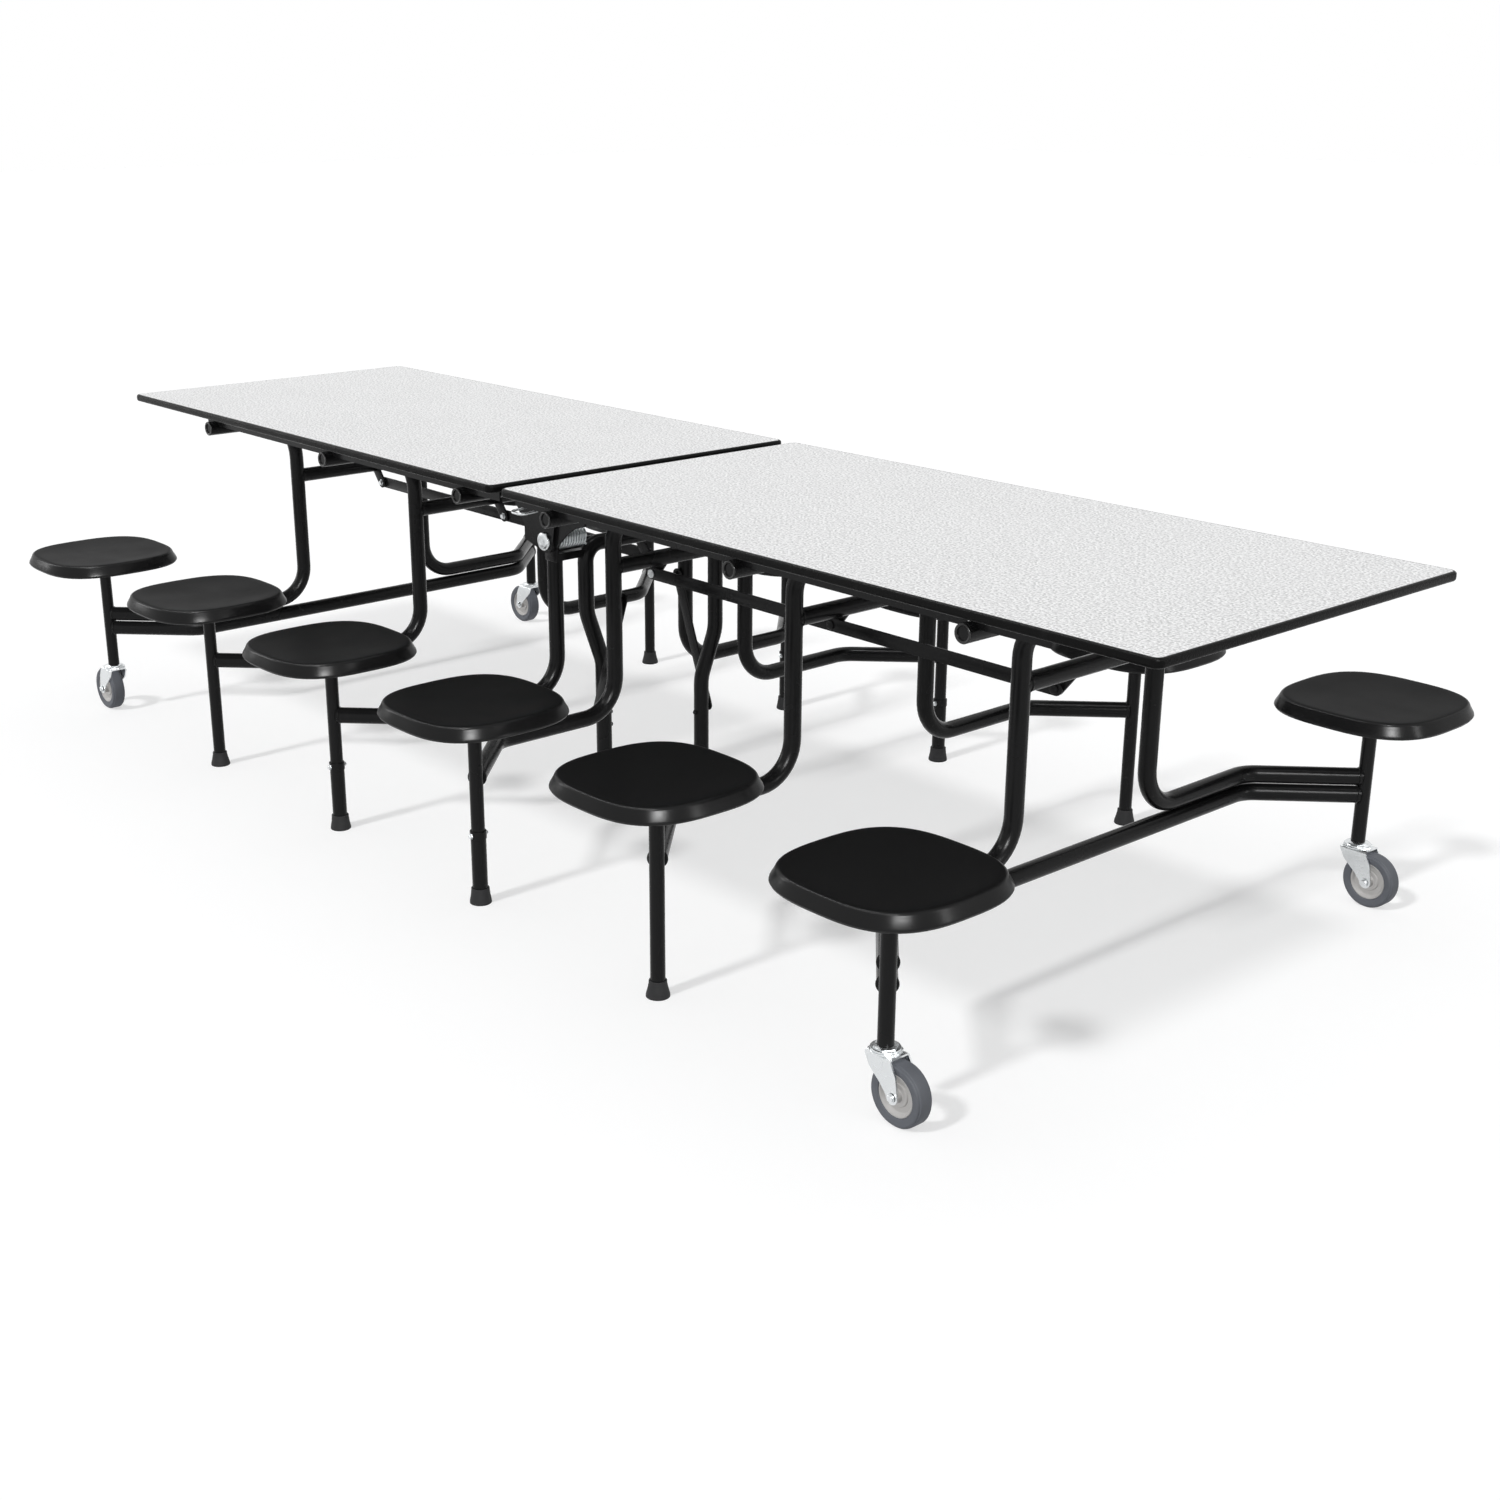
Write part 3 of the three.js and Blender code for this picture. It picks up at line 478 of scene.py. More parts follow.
for half, sign, row in FRAMES:
    body = f"frame_{half}_{row}"
    joint = "fold" if body == "frame_l_end" else f"{body}_pivot"
    pivot_x, pivot_z = abs(hinge_point[joint].x), hinge_point[joint].z
    leg_x = pivot_x - LEG_BACK
    post_x = pivot_x + POST_OUT
    cross_z = pivot_z - CROSS_DROP

    bm = bmesh.new()
    bent_tube(bm, [(pivot_x, -PIVOT_HALF, pivot_z), (pivot_x, PIVOT_HALF, pivot_z)], TUBE_R)
    bent_tube(bm, [(leg_x, -LEG_Y, cross_z), (leg_x, LEG_Y, cross_z)], TUBE_R)
    for _, y in SIDES:
        run = Vector((post_x - leg_x, POST_Y - JOGGLE_Y))
        run *= 1 - ARM_STOP / run.length
        arm_end = (leg_x + run.x, y * (JOGGLE_Y + run.y))
        bent_tube(bm, [
            (pivot_x, y * LEG_Y, pivot_z),
            (leg_x, y * LEG_Y, pivot_z - KNEE_DROP, KNEE_BEND),
            (leg_x, y * LEG_Y, ARM_Z, FOOT_BEND),
            (leg_x, y * JOGGLE_Y, ARM_Z, JOGGLE_BEND),
            (*arm_end, ARM_Z),
        ], TUBE_R)
        low = BOOT_SOLE
        if row == "end":
            low = FORK_TOP
            bent_tube(bm, [
                (leg_x, 0, LOWER_Z), (leg_x, y * JOGGLE_Y, LOWER_Z, JOGGLE_BEND), (*arm_end, LOWER_Z),
            ], TUBE_R)
        bent_tube(bm, [(post_x, y * POST_Y, low), (post_x, y * POST_Y, POST_TOP)], THIN_R)
        foot = Matrix.Translation((post_x, y * POST_Y, 0))
        turned(bm, [(0.0, POST_TOP - STOOL_PLATE), (STOOL_PLATE_R - 0.001, POST_TOP - STOOL_PLATE),
                    (STOOL_PLATE_R, POST_TOP - STOOL_PLATE + 0.001), (STOOL_PLATE_R, POST_TOP),
                    (0.0, POST_TOP)], foot, ring=40)
        arm_tubes = (ARM_Z, LOWER_Z) if row == "end" else (ARM_Z,)
        away = Vector((-run.x, -y * run.y, 0)).normalized()
        for z in arm_tubes:
            weld(bm, Vector((*arm_end, z)) + away * ARM_SEAM, away, *ARM_BEAD)
        if row == "inner":
            lip = SLEEVE_R + SLEEVE_LIP
            turned(bm, [(0, BOOT_SOLE), (SLEEVE_R, BOOT_SOLE), (SLEEVE_R, SLEEVE_TOP - SLEEVE_COLLAR),
                        (lip, SLEEVE_TOP - SLEEVE_COLLAR + 0.001), (lip, SLEEVE_TOP - 0.001),
                        (SLEEVE_R + 0.0004, SLEEVE_TOP), (0, SLEEVE_TOP)], foot)
        weld(bm, Vector((pivot_x, y * LEG_Y, pivot_z)) + KNEE_SEAM, KNEE_WAY, *BEAD)
        weld(bm, (leg_x, y * (LEG_Y - TUBE_R + CROSS_SEAM), cross_z), (0, 1, 0), *BEAD)
    lug_x, lug_z = leg_x - LINK_BACK, cross_z - LINK_DROP
    lug_y = -LINK_Y + LINK_THICK / 2 + PLAY
    plate(bm, strap_outline((leg_x, cross_z), (lug_x, lug_z), LUG_WIDTH), lug_y, lug_y + LUG_THICK)
    if row == "inner":
        stud_end = -BRACE_Y + BRACE_THICK / 2 + PLAY
        stud_z = hinge_point["brace_n_pivot" if sign > 0 else "brace_f_pivot"].z
        bent_tube(bm, [(leg_x, -LEG_Y, stud_z), (leg_x, stud_end, stud_z)], STUD_R, ring=16)
        bolt_head(bm, (leg_x, stud_end, stud_z), (0, 1, 0), *STUD_HEAD, sides=12)
    turn_half(bm, sign)
    posts_shadow.objects.link(
        make_piece(bm, f"leg_frame_{half}_{row}", powder_coat, body, [body])
    )

    # Black plugs pressed into both ends of the pivot tube, dished with a small nipple in the middle
    bm = bmesh.new()
    for _, y in SIDES:
        turned(bm, [
            (0, -0.012), (0.0125, -0.012), (0.0125, 0), *round_edge(0.0145, 0.0015, 0.0016, -60, 100, 6),
            (0.0115, 0.0022), (0.0102, -0.0035), (0.0052, -0.0045), (0.0048, -0.0015), (0.0026, -0.0008),
            (0.0022, -0.003), (0, -0.003),
        ], stand_at((pivot_x, y * PIVOT_HALF, pivot_z), (0, y, 0)))
    turn_half(bm, sign)
    make_piece(bm, f"tube_plugs_{half}_{row}", plug_plastic, body)

    # The rivet that the link bar turns on is bright on the inner frames; the other lugs have a bright nut
    bm = bmesh.new()
    rivet_y = -LINK_Y - LINK_THICK / 2 - PLAY
    rivet = stand_at((lug_x, rivet_y, lug_z), (0, -1, 0))
    turned(bm, [(0, -0.012), (LINK_PIN_R, -0.012), (LINK_PIN_R, 0), (LINK_HEAD_R, 0),
                *round_edge(LINK_HEAD_R - 0.0018, 0.0012, 0.0018, 0, 80, 5), (0.003, 0.0036), (0, 0.0037)],
           rivet)
    turn_half(bm, sign)
    rivet_coat, rivet_slot = (bright_zinc, "zinc") if row == "inner" else (powder_coat, "powder_coat")
    make_piece(bm, f"link_rivet_{half}_{row}", rivet_coat, body)
    if row != "inner":
        bm = bmesh.new()
        bolt_head(bm, (lug_x, lug_y + LUG_THICK - SINK, lug_z), (0, 1, 0), *LINK_NUT)
        turn_half(bm, sign)
        make_piece(bm, f"link_nut_{half}_{row}", bright_zinc, body)

    # Set bolts with nuts through the sleeves of the inner posts
    if row == "inner":
        bm = bmesh.new()
        for _, y in SIDES:
            for way in (-1, 1):
                face = (post_x, y * POST_Y + way * (SLEEVE_R + SLEEVE_LIP - SINK), SLEEVE_TOP - SET_BOLT_DROP)
                bolt_head(bm, face, (0, way, 0), *SET_BOLT)
        turn_half(bm, sign)
        make_piece(bm, f"set_bolts_{half}_{row}", bright_zinc, body)


# Stools
# Each is moulded from black plastic as a rounded square with bowed sides: a shallow dished top, a sloping
# rim that flares to its lower edge, and a ribbed underside screwed to the plate on the post.
SEAT_HALF = 0.1545
SEAT_POWER = 2.9
SEAT_TOP = 0.391
SEAT_LOW = 0.364
SEAT_UNDER = 0.3733
SEAT_RING = 112
RIBS = 8
RIB_SIZE = (0.062, 0.0025, 0.006)
RIB_MIDDLE = 0.091
RIB_DROP = 0.0025

seat_plastic = coating(
    "satin_black_seat_plastic", ground=(0.0075, 0.0075, 0.0077), mark=(0.013, 0.013, 0.0135),
    scuffs=(34, 0.1), skin=(1800, 14, 0.34, 0.28), bump=(0.04, 0.0003),
    settings={"Specular IOR Level": 0.008, "Coat Roughness": 0.22, "Coat IOR": 1.5},
)
# The rim is moulded against polished steel, and the grained top is duller: gloss grows with the slope
tree = seat_plastic.node_tree
slope = tree.nodes.new("ShaderNodeTexCoord")
parts = tree.nodes.new("ShaderNodeSeparateXYZ")
polish = tree.nodes.new("ShaderNodeMapRange")
polish.inputs["From Min"].default_value = 0.99
polish.inputs["From Max"].default_value = 0.85
polish.inputs["To Max"].default_value = 0.3
tree.links.new(slope.outputs["Normal"], parts.inputs["Vector"])
tree.links.new(parts.outputs["Z"], polish.inputs["Value"])
tree.links.new(polish.outputs["Result"], tree.nodes["Principled BSDF"].inputs["Coat Weight"])

seat_profile = [
    (0.0, SEAT_UNDER), (SEAT_HALF - 0.026, SEAT_UNDER), (SEAT_HALF - 0.018, SEAT_UNDER - 0.002),
    (SEAT_HALF - 0.0125, SEAT_LOW + 0.0012),
    *round_edge(SEAT_HALF - 0.0062, SEAT_LOW + 0.0050, 0.0050, -100, -15, 4),
    (SEAT_HALF - 0.0004, SEAT_LOW + 0.0052), (SEAT_HALF - 0.0012, SEAT_LOW + 0.0085),
    (SEAT_HALF - 0.0066, SEAT_LOW + 0.0185),
    *round_edge(SEAT_HALF - 0.0148, SEAT_TOP - 0.0072, 0.0072, 20, 88, 5),
    (SEAT_HALF - 0.021, SEAT_TOP - 0.0001), (SEAT_HALF - 0.032, SEAT_TOP - 0.0006),
    (SEAT_HALF - 0.055, SEAT_TOP - 0.0016), (SEAT_HALF - 0.09, SEAT_TOP - 0.0026), (0.03, SEAT_TOP - 0.003),
    (0.0, SEAT_TOP - 0.003),
]


def square_off(bm):
    """Pushes every point of a round form out to a rounded square with bowed sides."""
    for vert in bm.verts:
        radius = vert.co.xy.length
        if radius > 1e-6:
            turn = atan2(vert.co.y, vert.co.x)
            bow = (abs(cos(turn)) ** SEAT_POWER + abs(sin(turn)) ** SEAT_POWER) ** (-1 / SEAT_POWER)
            vert.co.xy *= bow


for half, _, row in FRAMES:
    for side, _ in SIDES:
        node = f"seat_{half}_{row}_{side}"
        low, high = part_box(node)
        centre = Matrix.Translation(((low.x + high.x) / 2, (low.y + high.y) / 2, 0))
        bm = bmesh.new()
        turned(bm, seat_profile, Matrix.Identity(4), ring=SEAT_RING)
        bmesh.ops.remove_doubles(bm, verts=bm.verts, dist=1e-6)
        square_off(bm)
        for k in range(RIBS):
            rib = bmesh.ops.create_cube(bm, size=1)["verts"]
            bmesh.ops.scale(bm, vec=RIB_SIZE, verts=rib)
            bmesh.ops.translate(bm, vec=(RIB_MIDDLE, 0, SEAT_UNDER - RIB_DROP), verts=rib)
            bmesh.ops.rotate(bm, cent=(0, 0, 0), matrix=Matrix.Rotation(2 * pi * k / RIBS, 3, "Z"), verts=rib)
        bmesh.ops.transform(bm, matrix=centre, verts=bm.verts)
        make_piece(bm, f"stool_{half}_{row}_{side}", seat_plastic, f"frame_{half}_{row}",
                   [node])


# Rubber boots
# A moulded rubber cup is pushed on the foot of each inner and mid post and of both middle legs. It widens
# to a flat sole, and its upper lip stands a little proud of the tube.
BOOT_HEIGHT = 0.030
BOOT_FOOT_R = 0.0205
BOOT_WALL = 0.0026

boot_rubber = coating(
    "matt_black_rubber", ground=(0.022, 0.022, 0.023), mark=(0.07, 0.07, 0.07), scuffs=(70, 0.4),
    skin=(1600, 40, 0.8, 0.62), bump=(0.2, 0.0005), settings={"Specular IOR Level": 0.3},
)


def rubber_boot(node, body, tube_r):
    low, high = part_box(node)
    stand = Matrix.Translation(((low.x + high.x) / 2, (low.y + high.y) / 2, 0))
    lip = tube_r + BOOT_WALL
    bm = bmesh.new()
    turned(bm, [
        (0, 0), (BOOT_FOOT_R - 0.0012, 0), *round_edge(BOOT_FOOT_R - 0.0012, 0.0012, 0.0012, -90, 0, 4),
        (BOOT_FOOT_R - 0.0003, 0.005), ((BOOT_FOOT_R + lip) / 2 - 0.0006, 0.016), (lip + 0.0002, 0.0245),
        *round_edge(lip - 0.001, BOOT_HEIGHT - 0.001, 0.001, 0, 90, 4), (tube_r + 0.0004, BOOT_HEIGHT),
        (tube_r + 0.0003, BOOT_HEIGHT - 0.006), (tube_r - 0.001, BOOT_SOLE), (0, BOOT_SOLE),
    ], stand, ring=36)
    make_piece(bm, f"rubber_{node}", boot_rubber, body, [node])


for half, _, row in FRAMES:
    if row != "end":
        for side, _ in SIDES:
            post_r = SLEEVE_R if row == "inner" else THIN_R
            rubber_boot(f"boot_{half}_{row}_{side}", f"frame_{half}_{row}", post_r)


# Casters
# A zinc-plated fork is pressed from sheet: a crown under two raceway rings, and two cheeks that taper down
# to the axle bolt. The wheel is a grey rubber tyre moulded on a pale nylon hub.
WHEEL_R = 0.050
WHEEL_HALF = 0.015
TYRE_BORE = 0.034
TRAIL = 0.034
CROWN_TOP = 0.108
CROWN_BACK = 0.022
CROWN_FRONT = 0.030
FORK_HALF = 0.0205
SHEET = 0.003
EAR_R = 0.011
FORK_BEND = 0.006
AXLE_R = 0.005
AXLE_BOLT = (0.0056, 0.0042)
RACE_BREAK = 0.0006
RACEWAYS = (
    (0.0265, CROWN_TOP - 0.0005, CROWN_TOP + 0.0022, 8),
    (0.0232, CROWN_TOP + 0.0020, CROWN_TOP + 0.0050, 40),
)

tyre_rubber = coating(
    "slate_grey_rubber", ground=(0.108, 0.115, 0.131), mark=(0.17, 0.18, 0.2), scuffs=(45, 0.35),
    skin=(1200, 25, 0.72, 0.55), bump=(0.15, 0.0005), settings={"Specular IOR Level": 0.35},
)
hub_nylon = coating(
    "pale_grey_nylon", ground=(0.44, 0.43, 0.42), mark=(0.34, 0.33, 0.32), scuffs=(60, 0.3),
    skin=(1500, 30, 0.5, 0.36), bump=(0.1, 0.0004), settings={"Specular IOR Level": 0.45},
)

for half in ("l", "r"):
    for side, _ in SIDES:
        swivel = hinge_point[f"swivel_{half}_{side}"]
        axle = hinge_point[f"spin_{half}_{side}"]
        out = 1 if axle.x > swivel.x else -1
        under = Matrix.Translation((swivel.x, swivel.y, 0)) @ Matrix.Diagonal((out, 1, 1, 1))

        # The fork sheet: a strip that runs from one cheek's foot over the crown to the other
        rows = [(TRAIL - EAR_R * cos(radians(a)), TRAIL + EAR_R * cos(radians(a)),
                 -FORK_HALF, WHEEL_R - EAR_R * sin(radians(a))) for a in (84, 72, 60, 45, 30, 15, 0)]
        rows.append((TRAIL - EAR_R - 0.012, TRAIL + EAR_R - 0.002, -FORK_HALF, WHEEL_R + 0.014))
        rows.append((-CROWN_BACK + 0.010, CROWN_FRONT + 0.010, -FORK_HALF, CROWN_TOP - 0.024))
        for k in range(6):
            a = radians(90 * k / 5)
            rows.append((-CROWN_BACK, CROWN_FRONT, -FORK_HALF + FORK_BEND * (1 - cos(a)),
                         CROWN_TOP - FORK_BEND + FORK_BEND * sin(a)))
        rows += [(back, front, -across, z) for back, front, across, z in reversed(rows)]
        bm = bmesh.new()
        back, front, across, z = rows[0]
        edge = bm.edges.new((bm.verts.new((back, across, z)), bm.verts.new((front, across, z))))
        for back, front, across, z in rows[1:]:
            grown = bmesh.ops.extrude_edge_only(bm, edges=[edge])["geom"]
            edge = next(e for e in grown if isinstance(e, bmesh.types.BMEdge) and len(e.link_faces) == 1
                        and all(v in grown for v in e.verts))
            ends = sorted(edge.verts, key=lambda v: v.co.x)
            ends[0].co = (back, across, z)
            ends[1].co = (front, across, z)
        bmesh.ops.recalc_face_normals(bm, faces=bm.faces)
        bmesh.ops.solidify(bm, geom=bm.faces[:], thickness=SHEET)
        for radius, z0, z1, ring in RACEWAYS:
            flat = radius - RACE_BREAK
            turned(bm, [(0, z0), (flat, z0), (radius, z0 + RACE_BREAK), (radius, z1 - RACE_BREAK), (flat, z1),
                        (0, z1)], Matrix.Identity(4), ring=ring)
        turned(bm, [(0, CROWN_TOP + 0.0045), (0.0195, CROWN_TOP + 0.0045), (0.0195, CROWN_TOP + 0.0064),
                    (0.0165, FORK_TOP - 0.0005), (0, FORK_TOP - 0.0005)], Matrix.Identity(4), ring=6)
        for way in (-1, 1):
            cheek = (TRAIL, way * (FORK_HALF + SHEET * 0.4), WHEEL_R)
            bolt_head(bm, cheek, (0, way, 0), *AXLE_BOLT, sides=12)
        bent_tube(bm, [(TRAIL, -FORK_HALF, WHEEL_R), (TRAIL, FORK_HALF, WHEEL_R)], AXLE_R, ring=16)
        bmesh.ops.transform(bm, matrix=under, verts=bm.verts)
        make_piece(bm, f"fork_sheet_{half}_{side}", bright_zinc, f"caster_{half}_{side}",
                   [f"fork_{half}_{side}"], sharp=30)

        wheel = stand_at(axle, (0, 1, 0))
        bm = bmesh.new()
        tread = [
            (TYRE_BORE, WHEEL_HALF - 0.003), (TYRE_BORE + 0.001, WHEEL_HALF - 0.0015),
            (0.0385, WHEEL_HALF - 0.0008), (0.0435, WHEEL_HALF),
            *round_edge(0.0452, WHEEL_HALF - 0.0022, 0.0022, 80, 10, 4),
            (0.0478, WHEEL_HALF - 0.0032), *round_edge(0.0478, WHEEL_HALF - 0.0055, 0.0022, 75, 5, 4),
        ]
        tyre_profile = tread + [(WHEEL_R, 0.004), (WHEEL_R, -0.004)] + [(r, -z) for r, z in reversed(tread)]
        turned(bm, tyre_profile + [tyre_profile[0]], wheel, ring=72)
        posts_shadow.objects.link(
            make_piece(bm, f"rubber_tyre_{half}_{side}", tyre_rubber, f"wheel_{half}_{side}",
                       [f"tyre_{half}_{side}"], sharp=30)
        )
        bm = bmesh.new()
        face = [
            (0.0054, 0.0168), (0.0092, 0.0168), (0.0100, 0.0160), (0.0104, 0.0092), (0.0116, 0.0082),
            (0.0176, 0.0082), (0.0186, 0.0074), (0.0190, 0.0058), (0.0268, 0.0058), (0.0284, 0.0070),
            (0.0300, 0.0108), (0.0312, 0.0122), (0.0330, 0.0124), (TYRE_BORE - 0.0003, 0.0116),
        ]
        hub_profile = face + [(r, -z) for r, z in reversed(face)]
        turned(bm, hub_profile + [hub_profile[0]], wheel, ring=72)
        make_piece(bm, f"nylon_hub_{half}_{side}", hub_nylon, f"wheel_{half}_{side}",
                   [f"hub_{half}_{side}"], sharp=30)


# Table tops
# Two particle-board tops are faced with white high-pressure laminate that has a fine pebbled skin, and are
# edged all round with a black vinyl bullnose.
BAND = 0.006
BAND_ROUND = 0.0052
CORNER = 0.016

white_laminate = bpy.data.materials.new("white_pebbled_laminate")
white_laminate.use_nodes = True
tree = white_laminate.node_tree
shader = tree.nodes["Principled BSDF"]
shader.inputs["Specular IOR Level"].default_value = 0.4
where = tree.nodes.new("ShaderNodeTexCoord")
pebbles = tree.nodes.new("ShaderNodeTexVoronoi")
pebbles.feature = "SMOOTH_F1"
pebbles.inputs["Scale"].default_value = 260
pebbles.inputs["Smoothness"].default_value = 0.6
# Noise mottles the laminate's white between a darker and a paler tone: painted light and shade of the pebbled
# skin
pebble_shade_noise = tree.nodes.new("ShaderNodeTexNoise")
pebble_shade_noise.inputs["Scale"].default_value = 230
pebble_shade_noise.inputs["Detail"].default_value = 3
tone = tree.nodes.new("ShaderNodeMapRange")
tone.inputs["From Min"].default_value = 0.4
tone.inputs["From Max"].default_value = 0.6
shade = tree.nodes.new("ShaderNodeMix")
shade.data_type = "RGBA"
shade.inputs["A"].default_value = (0.54, 0.54, 0.54, 1)
shade.inputs["B"].default_value = (0.97, 0.97, 0.97, 1)
skin = tree.nodes.new("ShaderNodeGroup")
skin.node_tree = fine_skin
for socket, value in (("Grain", 700), ("Patch", 6), ("Dull", 0.55), ("Shiny", 0.42)):
    skin.inputs[socket].default_value = value
relief = tree.nodes.new("ShaderNodeBump")
relief.inputs["Strength"].default_value = 0.35
relief.inputs["Distance"].default_value = 0.0012
tree.links.new(where.outputs["Object"], pebbles.inputs["Vector"])
tree.links.new(where.outputs["Object"], pebble_shade_noise.inputs["Vector"])
tree.links.new(pebble_shade_noise.outputs["Fac"], tone.inputs["Value"])
tree.links.new(tone.outputs["Result"], shade.inputs["Factor"])
tree.links.new(shade.outputs["Result"], shader.inputs["Base Color"])
tree.links.new(skin.outputs["Roughness"], shader.inputs["Roughness"])
tree.links.new(pebbles.outputs["Distance"], relief.inputs["Height"])
tree.links.new(relief.outputs["Normal"], shader.inputs["Normal"])

edge_vinyl = coating(
    "black_edge_vinyl", ground=(0.005, 0.005, 0.005), mark=(0.03, 0.03, 0.03), scuffs=(40, 0.25),
    skin=(420, 18, 0.34, 0.22), bump=(0.5, 0.0012), settings={"Specular IOR Level": 0.06},
)
for half in ("left", "right"):
    board = nodes[f"top_{half}"]
    board.data.materials.clear()
    board.data.materials.append(white_laminate)
    tops_shadow.objects.link(board)
    no_cards.objects.link(board)
    no_cards.collection_objects[-1].light_linking.link_state = "EXCLUDE"

    low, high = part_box(f"band_{half}")
    bm = bmesh.new()
    rim = bmesh.ops.create_cube(bm, size=1)["verts"]
    bmesh.ops.scale(bm, vec=high - low, verts=rim)
    bmesh.ops.translate(bm, vec=(low + high) / 2, verts=rim)
    corners = [e for e in bm.edges if abs(e.verts[0].co.z - e.verts[1].co.z) > 1e-4]
    bmesh.ops.bevel(bm, geom=corners, offset=CORNER, offset_type="OFFSET", segments=8, profile=0.5,
                    affect="EDGES", material=-1)
    flats = [f for f in bm.faces if abs(f.normal.z) > 0.9]
    brims = [e for f in flats for e in f.edges]
    bmesh.ops.bevel(bm, geom=brims, offset=BAND_ROUND, offset_type="OFFSET", segments=6, profile=0.5,
                    affect="EDGES", material=-1)
    bm.normal_update()
    flats = [f for f in bm.faces if abs(f.normal.z) > 0.999 and f.calc_area() > 0.5]
    bmesh.ops.inset_region(bm, faces=flats, thickness=BAND - BAND_ROUND, use_even_offset=True)
    openings = [e for f in flats for e in f.edges]
    bmesh.ops.delete(bm, geom=flats, context="FACES_ONLY")
    bmesh.ops.bridge_loops(bm, edges=openings)
    make_piece(bm, f"edge_band_{half}", edge_vinyl, f"top_{half}", [f"band_{half}"])


# Chassis
# Pressed steel rails and ties are screwed up into each top. They carry the hangers for the pivot tubes and
# the plates of the middle hinge, and are coated black like the frames.
SCREW_R = 0.0055
SCREW_HEAD = 0.0034
SCREW_DEPTH = 0.0052
SCREW_FIRST = 0.06
SCREW_ENDS = 0.09
RAIL_Y = 0.330
SHORT_RAIL_PAST = 0.036
SCREWS = 8
for half, sign in (("left", -1), ("right", 1)):
    chassis = nodes[f"chassis_{half}"]
    chassis.data.materials.clear()
    chassis.data.materials.append(powder_coat)
    low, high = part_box(f"chassis_{half}")
    long_end = max(abs(low.x), abs(high.x))
    short_end = hinge_point["frame_r_end_pivot"].x + SHORT_RAIL_PAST
    bm = bmesh.new()
    for _, y in SIDES:
        reach = (short_end if sign * y > 0 else long_end) - SCREW_ENDS
        for k in range(SCREWS):
            x = sign * (SCREW_FIRST + k * reach / (SCREWS - 1))
            bolt_head(bm, (x, y * RAIL_Y, high.z - SCREW_DEPTH), (0, 0, -1), SCREW_R, SCREW_HEAD, sides=12)
    make_piece(bm, f"rail_screws_{half}", bright_zinc, f"top_{half}")


# Middle hinge
# The two halves turn on a pair of zinc-plated pins with broad domed heads. A steel lift spring is wound
# round each pin between the hinge plate and the ear of the middle legs.
HINGE = hinge_point["middle_hinge"]
PIN_R = 0.008
HEAD_R = 0.018
SPRING_WIRE = 0.0045
SPRING_MEAN = 0.019
SPRING_PITCH = 0.0065
SPRING_TURNS = 10
SPRING_START = 0.175
SPRING_LEAD = 0.4
SPRING_RISE = 0.003
COIL_STEPS = 24

spring_steel = coating(
    "zinc_spring_steel", ground=(0.60, 0.63, 0.64), mark=(0.34, 0.36, 0.37), scuffs=(90, 0.5),
    skin=(900, 60, 0.4, 0.24), bump=(0.05, 0.0003), settings={"Metallic": 1.0},
)
for side, y in SIDES:
    low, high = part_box(f"pin_{side}")
    inner, outer = sorted((abs(low.y), abs(high.y)))
    bm = bmesh.new()
    turned(bm, [(0, inner), (PIN_R - 0.001, inner), (PIN_R, inner + 0.001), (PIN_R, outer - 0.0082),
                (HEAD_R - 0.0008, outer - 0.0082), (HEAD_R, outer - 0.0074), (HEAD_R, outer - 0.004),
                *round_edge(HEAD_R - 0.003, outer - 0.004, 0.003, 0, 60, 4), (0.0125, outer - 0.0006),
                (0.0105, outer - 0.0005), (0.0085, outer - 0.0022), (0.0045, outer - 0.0022),
                (0.0035, outer - 0.0002), (0, outer)],
           stand_at(HINGE, (0, y, 0)), ring=48)
    make_piece(bm, f"hinge_pin_{side}", bright_zinc, "top_left", [f"pin_{side}"])

    low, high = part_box(f"spring_{side}")
    leg_in, leg_out = sorted((abs(low.y), abs(high.y)))
    bm = bmesh.new()
    first = HINGE + Vector((0, SPRING_START, -SPRING_MEAN))
    across = stand_at(first, (1, 0, 0))
    bmesh.ops.create_circle(bm, cap_ends=False, radius=SPRING_WIRE / 2, segments=12, matrix=across)
    bmesh.ops.spin(
        bm, geom=bm.edges[:], cent=HINGE, axis=(0, -1, 0), dvec=(0, SPRING_PITCH / COIL_STEPS, 0),
        angle=2 * pi * SPRING_TURNS, steps=SPRING_TURNS * COIL_STEPS, use_duplicate=False,
    )
    bmesh.ops.holes_fill(bm, edges=[e for e in bm.edges if len(e.link_faces) == 1], sides=0)
    spring_end = SPRING_START + SPRING_PITCH * SPRING_TURNS
    for start, way, tip in ((SPRING_START, -1, leg_in), (spring_end, 1, leg_out)):
        lean = -pi / 2 + way * SPRING_LEAD
        hook = HINGE + Vector((SPRING_MEAN * cos(lean), 0, SPRING_MEAN * sin(lean)))
        bent_tube(bm, [
            (HINGE.x, start, HINGE.z - SPRING_MEAN), (hook.x, start + way * SPRING_RISE, hook.z, 0.003),
            (hook.x, tip, hook.z),
        ], SPRING_WIRE / 2, ring=12)
    turn_half(bm, y)
    make_piece(bm, f"lift_spring_{side}", spring_steel, "middle_legs", [f"spring_{side}"])


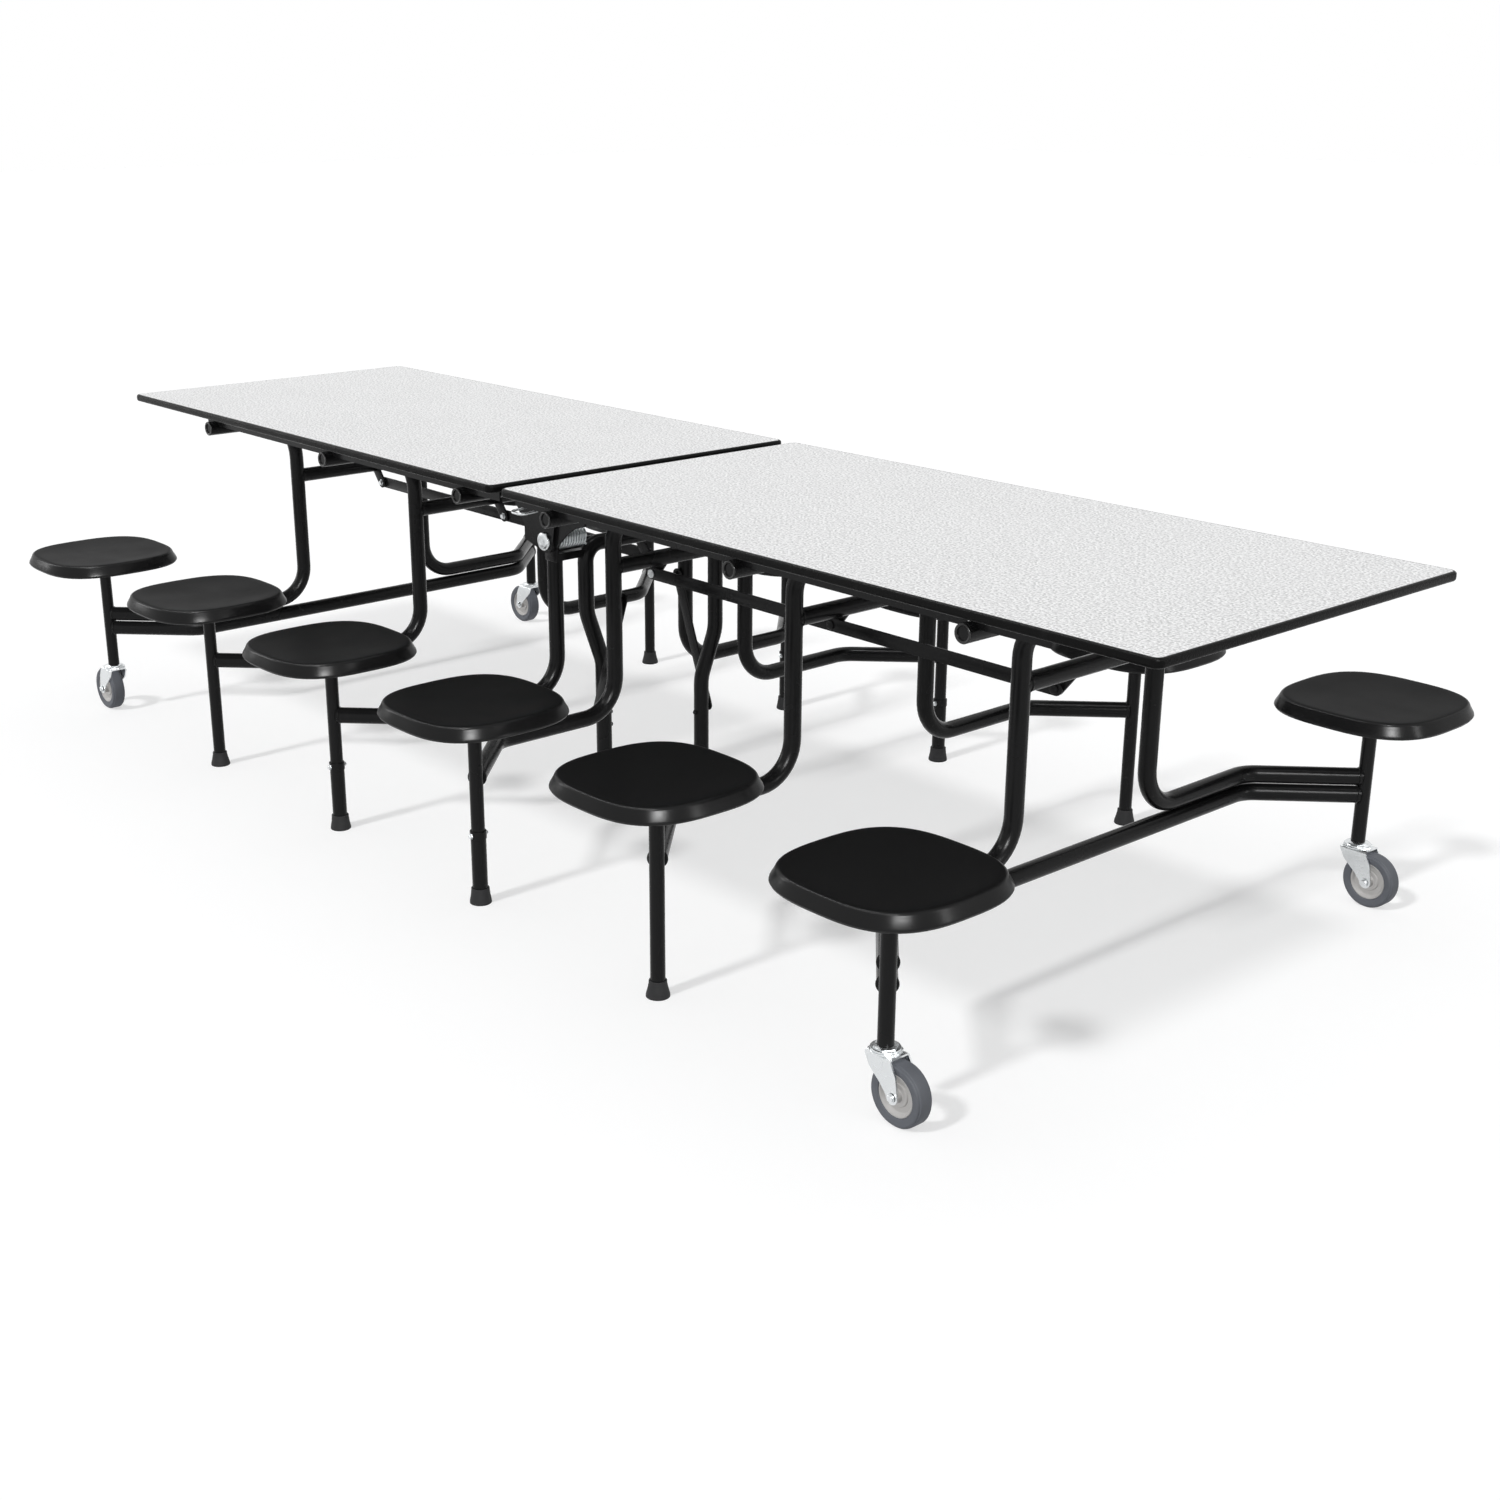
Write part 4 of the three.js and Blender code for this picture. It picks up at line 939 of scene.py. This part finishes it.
# Middle legs
# One tube is bent into a pair of legs with swan necks, which hang on the hinge pins by two welded ears and
# stand on boots. Black bolts hold the lower ends of the braces and clamp the feet.
MIDDLE_X = 0.004
MIDDLE_TOP_Y = 0.170
MIDDLE_FOOT_Y = 0.131
MIDDLE_TOP_DROP = 0.020
MIDDLE_R = 0.0159
MIDDLE_CORNER = 0.036
SWAN_NEAR = (0.315, 0.425)
SWAN_FAR = (0.230, 0.330)
SWAN_BEND = 0.080
EAR_HALF = 0.024
EAR_FOOT = 0.019
EAR_IN = 0.24665
EAR_THICK = 0.005
EAR_DROP = 0.042
STUB_HALF = 0.008
STUB_HEIGHT = 0.015

bm = bmesh.new()
top_z = HINGE.z - MIDDLE_TOP_DROP
bent_tube(bm, [
    (MIDDLE_X, -MIDDLE_FOOT_Y, BOOT_SOLE),
    (MIDDLE_X, -MIDDLE_FOOT_Y, SWAN_NEAR[0], SWAN_BEND),
    (MIDDLE_X, -MIDDLE_TOP_Y, SWAN_NEAR[1], SWAN_BEND),
    (MIDDLE_X, -MIDDLE_TOP_Y, top_z, MIDDLE_CORNER),
    (MIDDLE_X, MIDDLE_TOP_Y, top_z, MIDDLE_CORNER),
    (MIDDLE_X, MIDDLE_TOP_Y, SWAN_FAR[1], SWAN_BEND),
    (MIDDLE_X, MIDDLE_FOOT_Y, SWAN_FAR[0], SWAN_BEND),
    (MIDDLE_X, MIDDLE_FOOT_Y, BOOT_SOLE),
], MIDDLE_R)
ear_low = HINGE.z - EAR_DROP
ear = [(-EAR_FOOT, ear_low), (EAR_FOOT, ear_low)]
ear += [(EAR_HALF * cos(pi * k / 16), HINGE.z + EAR_HALF * sin(pi * k / 16)) for k in range(17)]
stub = [(MIDDLE_X - STUB_HALF, ear_low), (MIDDLE_X + STUB_HALF, ear_low),
        (MIDDLE_X + STUB_HALF, ear_low + STUB_HEIGHT), (MIDDLE_X - STUB_HALF, ear_low + STUB_HEIGHT)]
for _, y in SIDES:
    plate(bm, ear, *sorted((y * EAR_IN, y * (EAR_IN + EAR_THICK))))
    plate(bm, stub, *sorted((y * MIDDLE_TOP_Y, y * (EAR_IN + 0.001))))
make_piece(bm, "swan_neck_legs", powder_coat, "middle_legs", ["middle_legs"])
for side, _ in SIDES:
    rubber_boot(f"boot_middle_{side}", "middle_legs", MIDDLE_R)

FOOT_BOLT = (0.0048, 0.0052)
FOOT_BOLT_Z = {"n": (0.205, 0.178), "f": (0.155,)}
bm = bmesh.new()
for side, y in SIDES:
    for z in FOOT_BOLT_Z[side]:
        spot = (MIDDLE_X, y * (MIDDLE_FOOT_Y - MIDDLE_R + SINK), z)
        bolt_head(bm, spot, (0, -y, 0), *FOOT_BOLT)
make_piece(bm, "foot_bolts", powder_coat, "middle_legs")


# Link bars and braces
# Flat steel bars, sheared and drilled, with rounded ends. A link bar keeps the three frames of each half
# parallel, and a brace ties one leg of each inner frame to a middle leg.
LINK_HEIGHT = 0.025
BRACE_WIDTH = 0.025
BRACE_BOLT = (0.0058, 0.0052)
for half in ("left", "right"):
    low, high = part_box(f"link_{half}")
    middle_z = (low.z + high.z) / 2
    ends = [(low.x + LINK_HEIGHT / 2, middle_z), (high.x - LINK_HEIGHT / 2, middle_z)]
    bm = bmesh.new()
    plate(bm, strap_outline(*ends, LINK_HEIGHT), low.y, high.y)
    make_piece(bm, f"link_bar_{half}", powder_coat, f"link_{half}", [f"link_{half}"])
for side, y in SIDES:
    low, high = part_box(f"brace_{side}")
    top = hinge_point[f"brace_{side}_pivot"]
    foot = (MIDDLE_X, low.z + BRACE_WIDTH / 2)
    y0, y1 = sorted((y * (BRACE_Y - BRACE_THICK / 2), y * (BRACE_Y + BRACE_THICK / 2)))
    bm = bmesh.new()
    plate(bm, strap_outline((top.x, top.z), foot, BRACE_WIDTH), y0, y1)
    bolt_head(bm, (foot[0], y * (BRACE_Y + BRACE_THICK / 2 - SINK), foot[1]), (0, y, 0), *BRACE_BOLT)
    make_piece(bm, f"brace_bar_{side}", powder_coat, f"brace_{side}", [f"brace_{side}"])


# Latch bail
# A loop of bright wire is hooked into two lugs on the near hinge plate. It is pulled to let the table fold.
BAIL = hinge_point["bail_pivot"]
BAIL_WIRE = 0.0025
BAIL_REACH = 0.068
BAIL_DROP = 0.004
BAIL_LEFT, BAIL_RIGHT = -0.006, 0.034
BAIL_HOOK = 0.011
tip = (BAIL.y - BAIL_REACH, BAIL.z - BAIL_DROP)
bm = bmesh.new()
bent_tube(bm, [
    (BAIL_LEFT + BAIL_HOOK, BAIL.y, BAIL.z),
    (BAIL_LEFT, BAIL.y, BAIL.z, 0.005),
    (BAIL_LEFT, *tip, 0.014),
    (BAIL_RIGHT, *tip, 0.014),
    (BAIL_RIGHT, BAIL.y, BAIL.z, 0.005),
    (BAIL_RIGHT - BAIL_HOOK, BAIL.y, BAIL.z),
], BAIL_WIRE, ring=14)
make_piece(bm, "latch_wire", bright_zinc, "bail", ["bail"])
